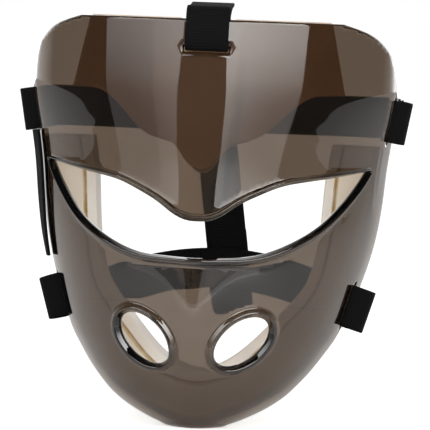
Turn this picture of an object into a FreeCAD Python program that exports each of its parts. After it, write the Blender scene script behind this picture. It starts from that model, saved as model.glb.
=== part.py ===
"""Field hockey face mask: a clear moulded shell, laminated foam pads, and an elastic webbing harness.

Millimetres, +Z up. The mask faces -Y and +X is on the viewer's right. The origin is where the middle of the
wearer's head sits, on the mask's middle plane. One STEP file is written for each piece.
"""

import FreeCAD, Part

import math
import os

Vector = FreeCAD.Vector

# Sizes of the shell
SHELL_WIDTH = 216.0  # across the widest part of the rear rim
CROWN_RISE = 113.0  # origin up to the top edge
CHIN_DROP = 119.5  # origin down to the flat under the chin
FRONT_REACH = 92.0  # origin forward to the mouth
REAR_REACH = 22.0  # origin back to the rim at the temple
WALL = 3.0
RIDGE_HEIGHT = 5.0  # of the keel over the nose and mouth
RIDGE_TOP_WIDTH = 27.0
RIDGE_LOW_WIDTH = 12.0
FRONT_TURN_DEG = 58.0  # the forehead panel's turn from its middle to the crease
CREASE_TURN_DEG = 19.0
JAW_TURN_DEG = 86.0
CREASE_SHARE = 0.81
CREASE_SPAN_SHARE = 0.05

# Eye opening and breath holes, as seen from the front
EYE_SIDE_MARGIN = 14.5  # each corner of the eye in from the shell's full width
EYE_TOP = 29.6  # height of the outer corners
EYE_BOTTOM = 22.0  # depth of the lower edge below the origin
HOLE_APART = 27.8  # a breath hole's centre from the middle plane
HOLE_DROP = 68.0
HOLE_LONG = 18.6
HOLE_SHORT = 11.3
HOLE_TILT_DEG = 42.0
LIP_WIDTH = 4.0
LIP_HEIGHT = 3.0
LIP_UPPER_SHARE = 0.65  # the eye's upper lip is thinner than its lower one
LIP_CORNER_SHARE = 0.35  # and both are thinner at the eye's corners

# Foam
PAD_GAP = 0.3
PAD_DEPTH = 25.0  # front to back of the foam band round the rim
LINER_THICKNESS = 6.5
CHEEK_FOAM = 40.0  # the cheek foam's inner face in from the shell's full width
BAND_TOP = 43.0
BAND_SPLIT_DROP = 52.0  # where the cheek foam ends and the chin foam begins
CHIN_FOAM = 31.5  # the chin foam's inner face up from the flat under the chin
FOREHEAD_FOAM = 9.0
FOREHEAD_LINER = 6.0
FOREHEAD_SIDE_MARGIN = 28.0  # the forehead pad's ends in from the shell's full width
FOREHEAD_TOP_STAND = 1.5  # foam above the shell's top edge
FOREHEAD_SIDE_LOW = 72.0  # height of the pad's lower edge at its ends
FOREHEAD_TONGUE_LOW = 29.0
TONGUE_WIDTH = 22.0

# Webbing harness
WEB_WIDTH = 25.0
WEB_THICK = 1.8
WEB_GAP = 0.3
SLOT_LENGTH = 27.6
SLOT_WIDTH = 5.0
CROWN_MARGIN = 16.5  # slot to the top edge
TEMPLE_MARGIN = 11.0  # slot to the rear rim
JAW_MARGIN = 13.0
TEMPLE_HEIGHT = 58.0
TEMPLE_LEAN_SHARE = 0.0
JAW_LEAN_SHARE = 0.15
JAW_DROP = 50.0
CROWN_LOOP_REACH = 25.0
TEMPLE_LOOP_REACH = 25.0
JAW_LOOP_REACH = 27.0
CROWN_LOOP_BULGE = 4.2
TEMPLE_LOOP_BULGE = 8.5
JAW_LOOP_BULGE = 11.0
HARNESS_REACH = 97.0  # origin back to the bands
UPPER_BAND_HEIGHT = 58.0
LOWER_BAND_DROP = 38.0
STRAIGHT_RUN = 42.0  # flat stretch of a band behind its loop
BOW_NEAR_SHARE = 0.85  # roundness of a band beside the head and behind it
BOW_FAR_SHARE = 0.5
CROWN_DRIFT = 17.0  # sideways run of the crown strap down the back
CROWN_LEFT_SHARE = 0.45  # the part of that run to the left of the middle plane
CROWN_BEND_RISE = 15.0  # where the crown strap turns down, above the upper band's middle
CROWN_NEAR_SHARE = 0.45  # roundness of the crown strap above the forehead and behind the head
CROWN_LIFT_SHARE = 0.04
CROWN_FAR_SHARE = 0.36
TAIL_DROP = 66.0
TAIL_LENGTH = 52.0
TAB_LENGTH = 26.0
TAB_THICK = 1.6
TAB_TRAVEL = 15.0
FLEECE_THICK = 0.6
FLEECE_EDGE = 0.9  # webbing that shows on each side of the fleece
SIDE_TAIL_LENGTH = 74.0
SIDE_TAIL_STAND = 2.64  # its middle from the shell's face
THREAD = 0.6
STITCH_SIZE = 18.0

SHELL_HEIGHT = CROWN_RISE + CHIN_DROP
SHELL_DEPTH = FRONT_REACH + REAR_REACH
EYE_HALF_WIDTH = SHELL_WIDTH / 2 - EYE_SIDE_MARGIN
BAND_HALF_WIDTH = SHELL_WIDTH / 2 - CHEEK_FOAM
BAND_LOW = CHIN_DROP - CHIN_FOAM
FOREHEAD_HALF_WIDTH = SHELL_WIDTH / 2 - FOREHEAD_SIDE_MARGIN
OVERRUN = SHELL_DEPTH  # how far the cutting solids pass what they cut

# Rows of the shell's form: height share, half width share, front share and skirt share of the depth
FORM_SHARES = (
    (-0.040, 0.105, 0.300, 0.450),
    (0.000, 0.182, 0.235, 0.475),
    (0.015, 0.263, 0.210, 0.495),
    (0.037, 0.361, 0.175, 0.530),
    (0.058, 0.434, 0.145, 0.560),
    (0.080, 0.493, 0.116, 0.590),
    (0.127, 0.590, 0.068, 0.675),
    (0.174, 0.666, 0.034, 0.750),
    (0.222, 0.732, 0.014, 0.820),
    (0.329, 0.826, 0.010, 0.935),
    (0.437, 0.897, 0.045, 1.030),
    (0.544, 0.938, 0.100, 1.072),
    (0.643, 0.963, 0.145, 1.065),
    (0.720, 0.988, 0.172, 1.045),
    (0.763, 1.005, 0.187, 1.030),
    (0.815, 1.021, 0.206, 1.015),
    (0.858, 1.022, 0.223, 1.008),
    (0.923, 1.012, 0.252, 1.003),
    (1.040, 0.992, 0.310, 1.000),
)
# The rear rim seen from the side, from the chin up: height share and depth share
RIM_SHARES = (
    (0.000, 0.375),
    (0.058, 0.48),
    (0.127, 0.592),
    (0.213, 0.73),
    (0.320, 0.875),
    (0.430, 0.965),
    (0.550, 1.0),
    (0.666, 0.985),
    (0.772, 0.94),
    (0.858, 0.87),
    (0.914, 0.80),
    (0.950, 0.735),
    (0.977, 0.655),
    (1.000, 0.53),
)
RIDGE_SHARES = ((-0.04, 0.35), (0.08, 0.55), (0.2, 1.0), (0.33, 1.0), (0.43, 0.45), (0.52, 0.0), (1.04, 0.0))
# Half of the eye opening from the middle to its corner: shares of its half width and of its top or bottom
EYE_UPPER_SHARES = (
    (0.0, 0.01),
    (0.055, 0.02),
    (0.125, 0.095),
    (0.245, 0.34),
    (0.375, 0.55),
    (0.49, 0.70),
    (0.64, 0.80),
    (0.80, 0.88),
    (1.0, 1.0),
)
EYE_LOWER_SHARES = (
    (0.0, -1.0),
    (0.18, -0.975),
    (0.32, -0.935),
    (0.45, -0.795),
    (0.58, -0.545),
    (0.735, -0.11),
    (0.86, 0.455),
    (0.95, 0.975),
    (1.0, 1.345),
)
# Inner face of the foam band, from its top end to the middle of the chin: shares of its half width and low point
BAND_SHARES = (
    (1.04, 0.52),
    (1.0, 0.32),
    (0.97, 0.0),
    (0.93, -0.25),
    (0.85, -0.45),
    (0.63, -0.66),
    (0.42, -0.83),
    (0.22, -0.95),
    (0.0, -1.0),
)
# Lower edge of the forehead pad from its end to the tongue: shares of its half width and of the edge's height
FOREHEAD_EDGE_SHARES = ((1.0, 1.0), (0.78, 0.99), (0.56, 0.80), (0.36, 0.64), (0.22, 0.60))
# A webbing loop in its own plane, outside the shell: shares of its bulge and of its reach beyond the slot
LOOP_OUT_SHARES = ((0.55, 0.06), (0.93, 0.22), (1.0, 0.45), (0.78, 0.72), (0.38, 0.92))
LOOP_BACK_SHARES = (1.0, 0.8, 0.6, 0.4, 0.22)  # of its reach, on its way back behind the wall
LOOP_ENTRY_SHARE = 0.72  # how far behind the wall's middle the loop lies as it comes back to the slot


def ease(share):
    """Goes smoothly from 0 to 1."""
    held = min(max(share, 0.0), 1.0)
    return held * held * (3.0 - 2.0 * held)


def through(rows, column, place):
    """A smooth curve through one column of a table, read at a place of its first column."""
    last = len(rows) - 1
    index = max(i for i in range(last) if i == 0 or rows[i][0] <= place)

    def slope(i):
        low, high = max(i - 1, 0), min(i + 1, last)
        return (rows[high][column] - rows[low][column]) / (rows[high][0] - rows[low][0])

    start, end = rows[index], rows[index + 1]
    span = end[0] - start[0]
    along = (place - start[0]) / span
    rise = end[column] - start[column]
    first, second = slope(index) * span, slope(index + 1) * span
    bend = along * along * (3.0 - 2.0 * along)
    lead = along * (1.0 - along) * (1.0 - along)
    trail = along * along * (along - 1.0)
    return start[column] + rise * bend + first * lead + second * trail


def depth_at(share):
    return share * SHELL_DEPTH - FRONT_REACH


def height_share(z):
    return (z + CHIN_DROP) / SHELL_HEIGHT


def rim_depth(z):
    """The rim's place along Y at a height."""
    return depth_at(through(RIM_SHARES, 1, height_share(z)))


def section(across, creased):
    """A section's unit form from the middle, at 0, to the skirt, at 1: its run sideways and its run back."""
    steps = 48
    side = back = 0.0
    for k in range(steps):
        part = across * (k + 0.5) / steps
        panel = FRONT_TURN_DEG * min(part / CREASE_SHARE, 1.0)
        wing = CREASE_TURN_DEG * ease((part - CREASE_SHARE) / CREASE_SPAN_SHARE)
        heading = math.radians(creased * (panel + wing) + (1.0 - creased) * JAW_TURN_DEG * part)
        side += math.cos(heading) * across / steps
        back += math.sin(heading) * across / steps
    return side, back


FULL_SECTION = {}


def outer_point(across, z):
    """A point of the shell's outer face. across runs from -1 to 1, from one side's skirt to the other's."""
    share = height_share(z)
    creased = ease((z + EYE_BOTTOM / 4) / (EYE_TOP + EYE_BOTTOM / 4))
    if creased not in FULL_SECTION:
        FULL_SECTION[creased] = section(1.0, creased)
    full_side, full_back = FULL_SECTION[creased]
    side, back = section(abs(across), creased)
    half = SHELL_WIDTH / 2 * through(FORM_SHARES, 1, share)
    ridge = RIDGE_HEIGHT * through(RIDGE_SHARES, 1, share)
    front = depth_at(through(FORM_SHARES, 2, share)) + ridge
    skirt = depth_at(through(FORM_SHARES, 3, share))
    x = math.copysign(half * side / full_side, across)
    spread = RIDGE_LOW_WIDTH + (RIDGE_TOP_WIDTH - RIDGE_LOW_WIDTH) * ease((z + HOLE_DROP) / HOLE_DROP)
    keel = ridge * math.exp(-((x / spread) ** 2))
    return Vector(x, front + (skirt - front) * back / full_back - keel, z)


def outward(across, z):
    """The outer face's normal."""
    step_share = 0.004
    step = step_share * SHELL_HEIGHT
    over = outer_point(across + step_share, z) - outer_point(across - step_share, z)
    up = outer_point(across, z + step) - outer_point(across, z - step)
    return over.cross(up).normalize()


def columns():
    """Places across the shell, closer together round the creases."""
    front = [CREASE_SHARE * k / 9 for k in range(9)]
    crease = [CREASE_SHARE + CREASE_SPAN_SHARE * (k / 3 - 0.5) for k in range(6)]
    wing_start = crease[-1]
    wing = [wing_start + (1.0 - wing_start) * k / 3 for k in range(1, 4)]
    half = front + crease + wing
    return [-a for a in reversed(half[1:])] + half


def face_at(offset, panel):
    """The shell's form moved outward by offset, as one face. The panel is the forehead between the creases."""
    first, last = (0.5, 1.03) if panel else (-0.03, 1.03)
    rows = round(32 * (last - first))
    places = [a for a in columns() if abs(a) < CREASE_SHARE or not panel]
    grid = []
    for k in range(rows + 1):
        z = (first + (last - first) * k / rows) * SHELL_HEIGHT - CHIN_DROP
        grid.append([outer_point(a, z) + outward(a, z) * offset for a in places])
    surface = Part.BSplineSurface()
    surface.interpolate(grid)
    return surface.toShape()


FORMS = {}


def behind(offset, panel=False):
    """Everything behind the shell's form, moved outward by offset."""
    key = (offset, panel)
    if key not in FORMS:
        FORMS[key] = face_at(offset, panel).extrude(Vector(0, SHELL_DEPTH + OVERRUN, 0))
    return FORMS[key]


def curve(points):
    line = Part.BSplineCurve()
    line.interpolate(points)
    return line.toShape()


def closed_curve(points):
    line = Part.BSplineCurve()
    line.interpolate(points, PeriodicFlag=True)
    return Part.Wire([line.toShape()])


def straight(a, b):
    return Part.LineSegment(a, b).toShape()


def front_prism(wire):
    """The space in front of and behind an outline drawn in the plane y = 0."""
    moved = wire.copy()
    moved.translate(Vector(0, -FRONT_REACH - OVERRUN, 0))
    return Part.Face(moved).extrude(Vector(0, SHELL_DEPTH + 2 * OVERRUN, 0))


def largest(shape):
    """The shape's largest solid, facing outward."""
    solid = max(shape.Solids, key=lambda s: abs(s.Volume))
    return solid.copy() if solid.Volume > 0 else solid.reversed()


def rim_slab(ahead):
    """The space in front of the rim, moved forward by ahead, as wide as the shell and more."""
    side = -SHELL_WIDTH / 2 - OVERRUN
    rows = 30
    heights = [SHELL_HEIGHT * k / rows - CHIN_DROP for k in range(rows + 1)]
    rim = [Vector(side, rim_depth(z) - ahead, z) for z in heights]
    front = -FRONT_REACH - OVERRUN
    low = Vector(side, front, -CHIN_DROP)
    high = Vector(side, front, CROWN_RISE)
    edges = [curve(rim), straight(rim[-1], high), straight(high, low), straight(low, rim[0])]
    return Part.Face(Part.Wire(edges)).extrude(Vector(SHELL_WIDTH + 2 * OVERRUN, 0, 0))


def mirrored(rows, wide, high):
    """A table's points on both sides, from the left end to the right end."""
    right = [Vector(a * wide, 0, b * high) for a, b in rows]
    left = [Vector(-p.x, 0, p.z) for p in reversed(right[1:])]
    return left + right


def eye_outline():
    """The eye opening's two strokes, clockwise from the left corner."""
    upper = mirrored(EYE_UPPER_SHARES, EYE_HALF_WIDTH, EYE_TOP)
    lower = mirrored(EYE_LOWER_SHARES, EYE_HALF_WIDTH, EYE_BOTTOM)
    lower[0] = upper[0]
    lower[-1] = upper[-1]
    return [curve(upper), curve(list(reversed(lower)))]


def hole_outline(side):
    """A slanted breath hole's one stroke, clockwise, with its low end nearer the middle."""
    tilt = math.radians(side * HOLE_TILT_DEG)
    points = []
    for k in range(16):
        turn = -2 * math.pi * k / 16
        long, short = HOLE_LONG * math.cos(turn), HOLE_SHORT * math.sin(turn)
        x = side * HOLE_APART + long * math.cos(tilt) - short * math.sin(tilt)
        z = -HOLE_DROP + long * math.sin(tilt) + short * math.cos(tilt)
        points.append(Vector(x, 0, z))
    return closed_curve(points).Edges


def beside(places, widths):
    """Points on the left of a run of places, each at its own distance."""
    last = len(places) - 1
    closed = places[0].isEqual(places[last], WALL / 100)
    moved = []
    for k, (place, width) in enumerate(zip(places, widths)):
        before = places[k - 1] if k > 0 else places[last - 1 if closed else 0]
        after = places[k + 1] if k < last else places[1 if closed else last]
        run = after - before
        moved.append(place + Vector(-run.z, 0, run.x).normalize() * width)
    return moved


def lip_outline(strokes):
    """A clockwise outline moved outward by the lip's width, with its corners cut off."""
    if len(strokes) == 1:
        places = strokes[0].discretize(Number=26)
        return closed_curve(beside(places, [LIP_WIDTH] * len(places))[:-1])
    edges = []
    start = end = None
    for stroke, share in zip(strokes, (LIP_UPPER_SHARE, 1.0)):
        places = stroke.discretize(Number=26)
        corners = [(abs(p.x) / EYE_HALF_WIDTH) ** 6 for p in places]
        widths = [LIP_WIDTH * share * (1.0 - (1.0 - LIP_CORNER_SHARE) * c) for c in corners]
        moved = beside(places, widths)
        if end:
            edges.append(straight(end, moved[0]))
        start = start or moved[0]
        end = moved[-1]
        edges.append(curve(moved))
    return Part.Wire(edges + [straight(end, start)])


def across_at(side, z, y):
    """Where across the shell its outer face has the depth y, at a height."""
    low, high = 0.0, 1.0
    for _ in range(40):
        middle = (low + high) / 2
        if outer_point(middle, z).y < y:
            low = middle
        else:
            high = middle
    return side * low


class Seat:
    """A strap slot's place on the shell: along the slot, out of the wall, and towards the rim."""

    def __init__(self, across, z, along, margin, ends):
        normal = outward(across, z)
        self.along = (along - normal * along.dot(normal)).normalize()
        self.out = normal
        self.rimward = self.along.cross(normal).normalize()
        if self.rimward.y + self.rimward.z < 0:
            self.rimward = -self.rimward
        self.middle = outer_point(across, z) - normal * (WALL / 2)
        self.margin = margin
        self.sag = 0.0
        self.bow = max((self.place(WALL / 2, 0.0) - end).dot(normal) for end in ends)

    def place(self, out, rimward, along=0.0):
        return self.middle + self.out * out + self.rimward * rimward + self.along * along

    def box(self, out, rimward, length):
        """A box from its (low, high) ranges out of the wall and towards the rim."""
        corners = [(out[0], rimward[0]), (out[1], rimward[0]), (out[1], rimward[1]), (out[0], rimward[1])]
        ring = [self.place(o, r, -length / 2) for o, r in corners]
        return Part.Face(Part.makePolygon(ring + ring[:1])).extrude(self.along * length)


def side_seat(side, z, margin, lean_share):
    """The seat of a side slot, its margin in front of the rim. It leans by a share of the rim's lean."""
    across = across_at(side, z, rim_depth(z) - margin)
    step = WEB_WIDTH / 2
    top = outer_point(across, z + step)
    bottom = outer_point(across, z - step)
    along = Vector(top.x - bottom.x, (rim_depth(z + step) - rim_depth(z - step)) * lean_share, 2 * step)
    seat = Seat(across, z, along, margin, [top, bottom])
    away = outer_point(across_at(side, z, rim_depth(z)), z) - seat.middle - seat.out * (WALL / 2)
    seat.sag = away.dot(seat.out) / away.dot(seat.rimward) ** 2
    return seat


def crown_seat():
    """The seat of the slot below the top edge."""
    z = CROWN_RISE - CROWN_MARGIN
    beside = WEB_WIDTH / SHELL_WIDTH
    return Seat(0.0, z, Vector(1, 0, 0), CROWN_MARGIN, [outer_point(beside, z)])


SIDES = {"left": -1, "right": 1}
CROWN_SEAT = crown_seat()
TEMPLE_SEATS = {n: side_seat(s, TEMPLE_HEIGHT, TEMPLE_MARGIN, TEMPLE_LEAN_SHARE) for n, s in SIDES.items()}
JAW_SEATS = {n: side_seat(s, -JAW_DROP, JAW_MARGIN, JAW_LEAN_SHARE) for n, s in SIDES.items()}
SEATS = [CROWN_SEAT, *TEMPLE_SEATS.values(), *JAW_SEATS.values()]


def shell():
    body = behind(0.0).common(rim_slab(0.0)).cut(behind(-WALL))
    skin = behind(LIP_HEIGHT).cut(behind(-WALL / 2))
    openings = [eye_outline(), hole_outline(-1), hole_outline(1)]
    for strokes in openings:
        lip = skin.common(front_prism(lip_outline(strokes))).common(rim_slab(0.0))
        body = body.fuse(largest(lip))
    for strokes in openings:
        body = body.cut(front_prism(Part.Wire(strokes)))
    for seat in SEATS:
        body = body.cut(seat.box((-WALL * 2, WALL * 2), (-SLOT_WIDTH / 2, SLOT_WIDTH / 2), SLOT_LENGTH))
    return largest(body)


def band_points(out):
    """The foam band's inner face from one top end round the chin to the other, moved towards the shell by out."""
    half = [Vector(a * BAND_HALF_WIDTH, 0, b * BAND_LOW) for a, b in BAND_SHARES]
    ring = half + [Vector(-p.x, 0, p.z) for p in reversed(half[:-1])]
    moved = []
    for k, point in enumerate(ring):
        run = ring[min(k + 1, len(ring) - 1)] - ring[max(k - 1, 0)]
        moved.append(point + Vector(-run.z, 0, run.x).normalize() * out)
    return moved


def band_region(out):
    """Everything on the head's side of the band's inner face, moved towards the shell by out."""
    points = band_points(out)
    return front_prism(Part.Wire([curve(points), straight(points[-1], points[0])]))


def strap_channels(body, seats):
    """Room in the foam for the webbing that passes behind the shell."""
    depth = WALL / 2 + 3 * WEB_GAP + WEB_THICK
    for seat in seats:
        inward = -depth - seat.bow - 2 * abs(seat.sag) * seat.margin * seat.margin
        reach = 2 * seat.margin + WEB_WIDTH
        body = body.cut(seat.box((inward, WALL), (-SLOT_WIDTH / 2, reach), SLOT_LENGTH))
    return body


def level_slab(low, high):
    wide = SHELL_WIDTH + 2 * OVERRUN
    corner = Vector(-wide / 2, -FRONT_REACH - OVERRUN, low)
    return Part.makeBox(wide, SHELL_DEPTH + 2 * OVERRUN, high - low, corner)


def rim_foam():
    """The laminated foam band behind the rim: an outer layer and a liner on each cheek and at the chin."""
    band = behind(-WALL - PAD_GAP).common(rim_slab(0.0)).cut(rim_slab(PAD_DEPTH))
    head_side = band_region(0.0)
    glue_side = band_region(LINER_THICKNESS)
    layers = {"pad": band.cut(glue_side), "liner": band.common(glue_side).cut(head_side)}
    cheeks = level_slab(-BAND_SPLIT_DROP, BAND_TOP)
    chin = level_slab(-CHIN_DROP, -BAND_SPLIT_DROP)
    pieces = {}
    for layer, body in layers.items():
        level = strap_channels(body, JAW_SEATS.values()) if layer == "pad" else body
        for solid in level.common(cheeks).Solids:
            name = "left" if solid.CenterOfMass.x < 0 else "right"
            key = f"cheek_{layer}_{name}"
            if key not in pieces or pieces[key].Volume < solid.Volume:
                pieces[key] = solid
        pieces[f"chin_{layer}"] = largest(level.common(chin))
    return pieces


def forehead_wire():
    """The forehead pad seen from the front: a wide top, a wavy lower edge and a rounded tongue in the middle."""
    top = CROWN_RISE + FOREHEAD_TOP_STAND
    half = [Vector(a * FOREHEAD_HALF_WIDTH, 0, b * FOREHEAD_SIDE_LOW) for a, b in FOREHEAD_EDGE_SHARES]
    neck = half[-1]
    bend = TONGUE_WIDTH / 2
    low = FOREHEAD_TONGUE_LOW
    half.append(Vector(bend, 0, (neck.z + low) / 2))
    half.append(Vector(bend * math.sin(math.pi / 4), 0, low + bend * (1 - math.cos(math.pi / 4))))
    half.append(Vector(0, 0, low))
    edge = half + [Vector(-p.x, 0, p.z) for p in reversed(half[:-1])]
    top_right = Vector(FOREHEAD_HALF_WIDTH - FOREHEAD_FOAM, 0, top)
    top_left = Vector(-top_right.x, 0, top)
    return Part.Wire([curve(edge), straight(edge[-1], top_left), straight(top_left, top_right),
                      straight(top_right, edge[0])])


def forehead_foam():
    outline = front_prism(forehead_wire())
    glue = -WALL - PAD_GAP - FOREHEAD_FOAM
    pad = behind(-WALL - PAD_GAP, True).cut(behind(glue, True)).common(outline)
    liner = behind(glue, True).cut(behind(glue - FOREHEAD_LINER, True)).common(outline)
    return {
        "forehead_pad": largest(strap_channels(pad, [CROWN_SEAT])),
        "forehead_liner": largest(liner),
    }


def loop_line(seat, reach, bulge):
    """A webbing loop's middle line: through the slot, round the rim outside, and back behind the wall."""
    inner = -WALL / 2 - 2 * WEB_GAP - WEB_THICK / 2 - seat.bow
    line = [(0.0, 0.0)]
    line += [(bulge * out, reach * rimward) for out, rimward in LOOP_OUT_SHARES]
    for share in LOOP_BACK_SHARES:
        line.append((inner + seat.sag * (min(share, LOOP_BACK_SHARES[1]) * reach) ** 2, share * reach))
    line.append((inner * LOOP_ENTRY_SHARE, WEB_THICK / 2))
    return line


def even_line(points, count):
    """Evenly spaced points, with their directions, along a smooth closed curve."""
    line = Part.BSplineCurve()
    line.interpolate([Vector(a, b, 0) for a, b in points], PeriodicFlag=True)
    spread = line.discretize(Number=count + 1)[:-1]
    places = [line.parameter(p) for p in spread]
    return [(p, line.tangent(u)[0]) for p, u in zip(spread, places)]


def webbing_loop(seat, reach, bulge):
    rings = []
    for side in (1, -1):
        ring = []
        for point, run in even_line(loop_line(seat, reach, bulge), 44):
            offset = Vector(-run.y, run.x, 0).normalize() * (side * WEB_THICK / 2)
            ring.append(seat.place(point.x + offset.x, point.y + offset.y, -WEB_WIDTH / 2))
        rings.append(closed_curve(ring))
    solids = [Part.Face(ring).extrude(seat.along * WEB_WIDTH) for ring in rings]
    solids.sort(key=lambda s: abs(s.Volume))
    return largest(solids[1].cut(solids[0]))


def ribbon(stations, width, thick, smooth=True):
    """Webbing through stations of (middle, along its width). Its flat side turns with the stations."""
    wires = []
    for k, (middle, across) in enumerate(stations):
        run = stations[min(k + 1, len(stations) - 1)][0] - stations[max(k - 1, 0)][0]
        run.normalize()
        edge = (across - run * across.dot(run)).normalize()
        flat = run.cross(edge).normalize()
        corners = [(-1, -1), (1, -1), (1, 1), (-1, 1)]
        ring = [middle + edge * (a * width / 2) + flat * (b * thick / 2) for a, b in corners]
        wires.append(Part.makePolygon(ring + ring[:1]))
    return Part.makeLoft(wires, True, not smooth)


def bezier(a, b, c, d, share):
    rest = 1.0 - share
    near, far = a * rest ** 3 + b * (3 * rest * rest * share), c * (3 * rest * share * share)
    return near + far + d * share ** 3


class Run:
    """The flat stretch of a band, from behind its loop straight back beside the head."""

    def __init__(self, seat, reach):
        tip_out = -WALL / 2 - WEB_THICK + seat.sag * reach * reach / 2
        self.across = seat.along
        tip = seat.place(tip_out, reach)
        back = Vector(0, 1, 0)
        self.way = (back - self.across * back.dot(self.across)).normalize()
        self.start = tip + self.way * (WEB_THICK + 2 * WEB_GAP)
        self.end = self.start + self.way * STRAIGHT_RUN
        self.out = self.way.cross(self.across).normalize()
        if self.out.dot(seat.out) < 0:
            self.out = -self.out

    def plate(self, lift, thick, start, length, width):
        """A flat piece lying on the run's outer side."""
        middle = self.start + self.out * (WEB_THICK / 2 + lift + thick / 2)
        ends = [(middle + self.way * d, self.across) for d in (start, start + length)]
        return ribbon(ends, width, thick, smooth=False)


def rear_band(runs, height):
    """One elastic band round the back of the head, with its flat runs."""
    back = Vector(0, HARNESS_REACH, height)
    half_lines = {}
    for name, side in SIDES.items():
        run = runs[name]
        gap = (back - run.end).Length
        near = run.end + run.way * (HARNESS_REACH - run.end.y) * BOW_NEAR_SHARE
        far = back + Vector(side * gap * BOW_FAR_SHARE, 0, 0)
        line = []
        for k in range(8):
            share = k / 7
            across = run.across * (1.0 - ease(share)) + Vector(0, 0, 1) * ease(share)
            line.append((bezier(run.end, near, far, back, share), across))
        half_lines[name] = line
    bow = ribbon(half_lines["right"][:-1] + list(reversed(half_lines["left"])), WEB_WIDTH, WEB_THICK)
    flats = [ribbon([(r.start, r.across), (r.end, r.across)], WEB_WIDTH, WEB_THICK, False) for r in runs.values()]
    return largest(bow.fuse(flats))


UPPER_RUNS = {name: Run(seat, TEMPLE_LOOP_REACH) for name, seat in TEMPLE_SEATS.items()}
LOWER_RUNS = {name: Run(seat, JAW_LOOP_REACH) for name, seat in JAW_SEATS.items()}
BACK_DEPTH = HARNESS_REACH + WEB_THICK + WEB_GAP  # middle of the crown strap behind the bands


def back_line(z):
    """The crown strap's middle line down the back of the head."""
    share = (UPPER_BAND_HEIGHT - z) / (UPPER_BAND_HEIGHT + TAIL_DROP)
    return Vector(CROWN_DRIFT * (share - CROWN_LEFT_SHARE), BACK_DEPTH, z)


DOWN_BACK = (back_line(-TAIL_DROP) - back_line(UPPER_BAND_HEIGHT)).normalize()


def crown_start():
    """Where the crown strap leaves its loop, just behind the loop's tip."""
    tip = CROWN_SEAT.place(-WALL / 2 - WEB_THICK / 2 - CROWN_SEAT.bow, CROWN_LOOP_REACH)
    return tip + Vector(0, WEB_THICK + 3 * WEB_GAP, 0)


def crown_strap():
    wide = Vector(1, 0, 0)
    start = crown_start()
    bend = back_line(UPPER_BAND_HEIGHT + CROWN_BEND_RISE)
    low = back_line(-LOWER_BAND_DROP - WEB_WIDTH / 2 - WEB_THICK)
    gap = (bend - start).Length
    near = start + Vector(0, gap * CROWN_NEAR_SHARE, gap * CROWN_LIFT_SHARE)
    far = bend - DOWN_BACK * (gap * CROWN_FAR_SHARE)
    line = [(bezier(start, near, far, bend, k / 9), wide) for k in range(10)]
    arch = ribbon(line, WEB_WIDTH, WEB_THICK)
    drop = ribbon([(bend, wide), (low, wide)], WEB_WIDTH, WEB_THICK, smooth=False)
    return largest(arch.fuse(drop))


def back_plate(lift, thick, top, length, width):
    """A flat piece on the rear side of the crown strap, from its top height down."""
    middle = back_line(top) + Vector(0, WEB_THICK / 2 + lift + thick / 2, 0)
    across = Vector(1, 0, 0)
    return ribbon([(middle, across), (middle + DOWN_BACK * length, across)], width, thick, False)


def side_tail():
    """The spare end of the left strap, hanging down the outside of the shell from its loop."""
    top = TEMPLE_HEIGHT - WEB_WIDTH / 2 - WEB_GAP
    depth = TEMPLE_SEATS["left"].middle.y
    half = WEB_WIDTH / 2
    rows = 7
    stations = []
    for k in range(rows):
        z = top - SIDE_TAIL_LENGTH * k / (rows - 1)
        front, rear = (outer_point(across_at(-1, z, depth + d), z) for d in (-half, half))
        crown = outer_point(across_at(-1, z, depth), z)
        x = min(crown.x, (front.x + rear.x) / 2) - SIDE_TAIL_STAND
        stations.append((Vector(x, depth, z), rear - front))
    return ribbon(stations, WEB_WIDTH, WEB_THICK)


def stitch_frame(centre, edge, up, size):
    """A square of raised thread with a cross in it, sewn where two straps meet."""
    bars = []
    half = size / 2
    signs = [(-1, -1), (1, -1), (1, 1), (-1, 1)]
    corners = [centre + edge * (a * half) + up * (b * half) for a, b in signs]
    pairs = [(corners[k], corners[(k + 1) % 4]) for k in range(4)]
    pairs += [(corners[0], corners[2]), (corners[1], corners[3])]
    for start, end in pairs:
        over = (end - start).normalize() * THREAD
        wide = over.cross(Vector(0, 1, 0))
        ring = [start - wide - over, end - wide + over, end + wide + over, start + wide - over]
        bars.append(Part.Face(Part.makePolygon(ring + ring[:1])).extrude(Vector(0, THREAD, 0)))
    return largest(bars[0].fuse(bars[1:]).removeSplitter())


def harness_stitching():
    edge = Vector(0, 1, 0).cross(DOWN_BACK)
    centre = back_line(UPPER_BAND_HEIGHT) + Vector(0, WEB_THICK / 2, 0)
    return stitch_frame(centre, edge, DOWN_BACK, STITCH_SIZE)


def write(name, shape):
    shape.exportStep(f"parts/{name}.step")
    solids = shape.Solids
    print(name, "solids", len(solids), "volume", round(shape.Volume, 1), "valid", shape.isValid())


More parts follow.
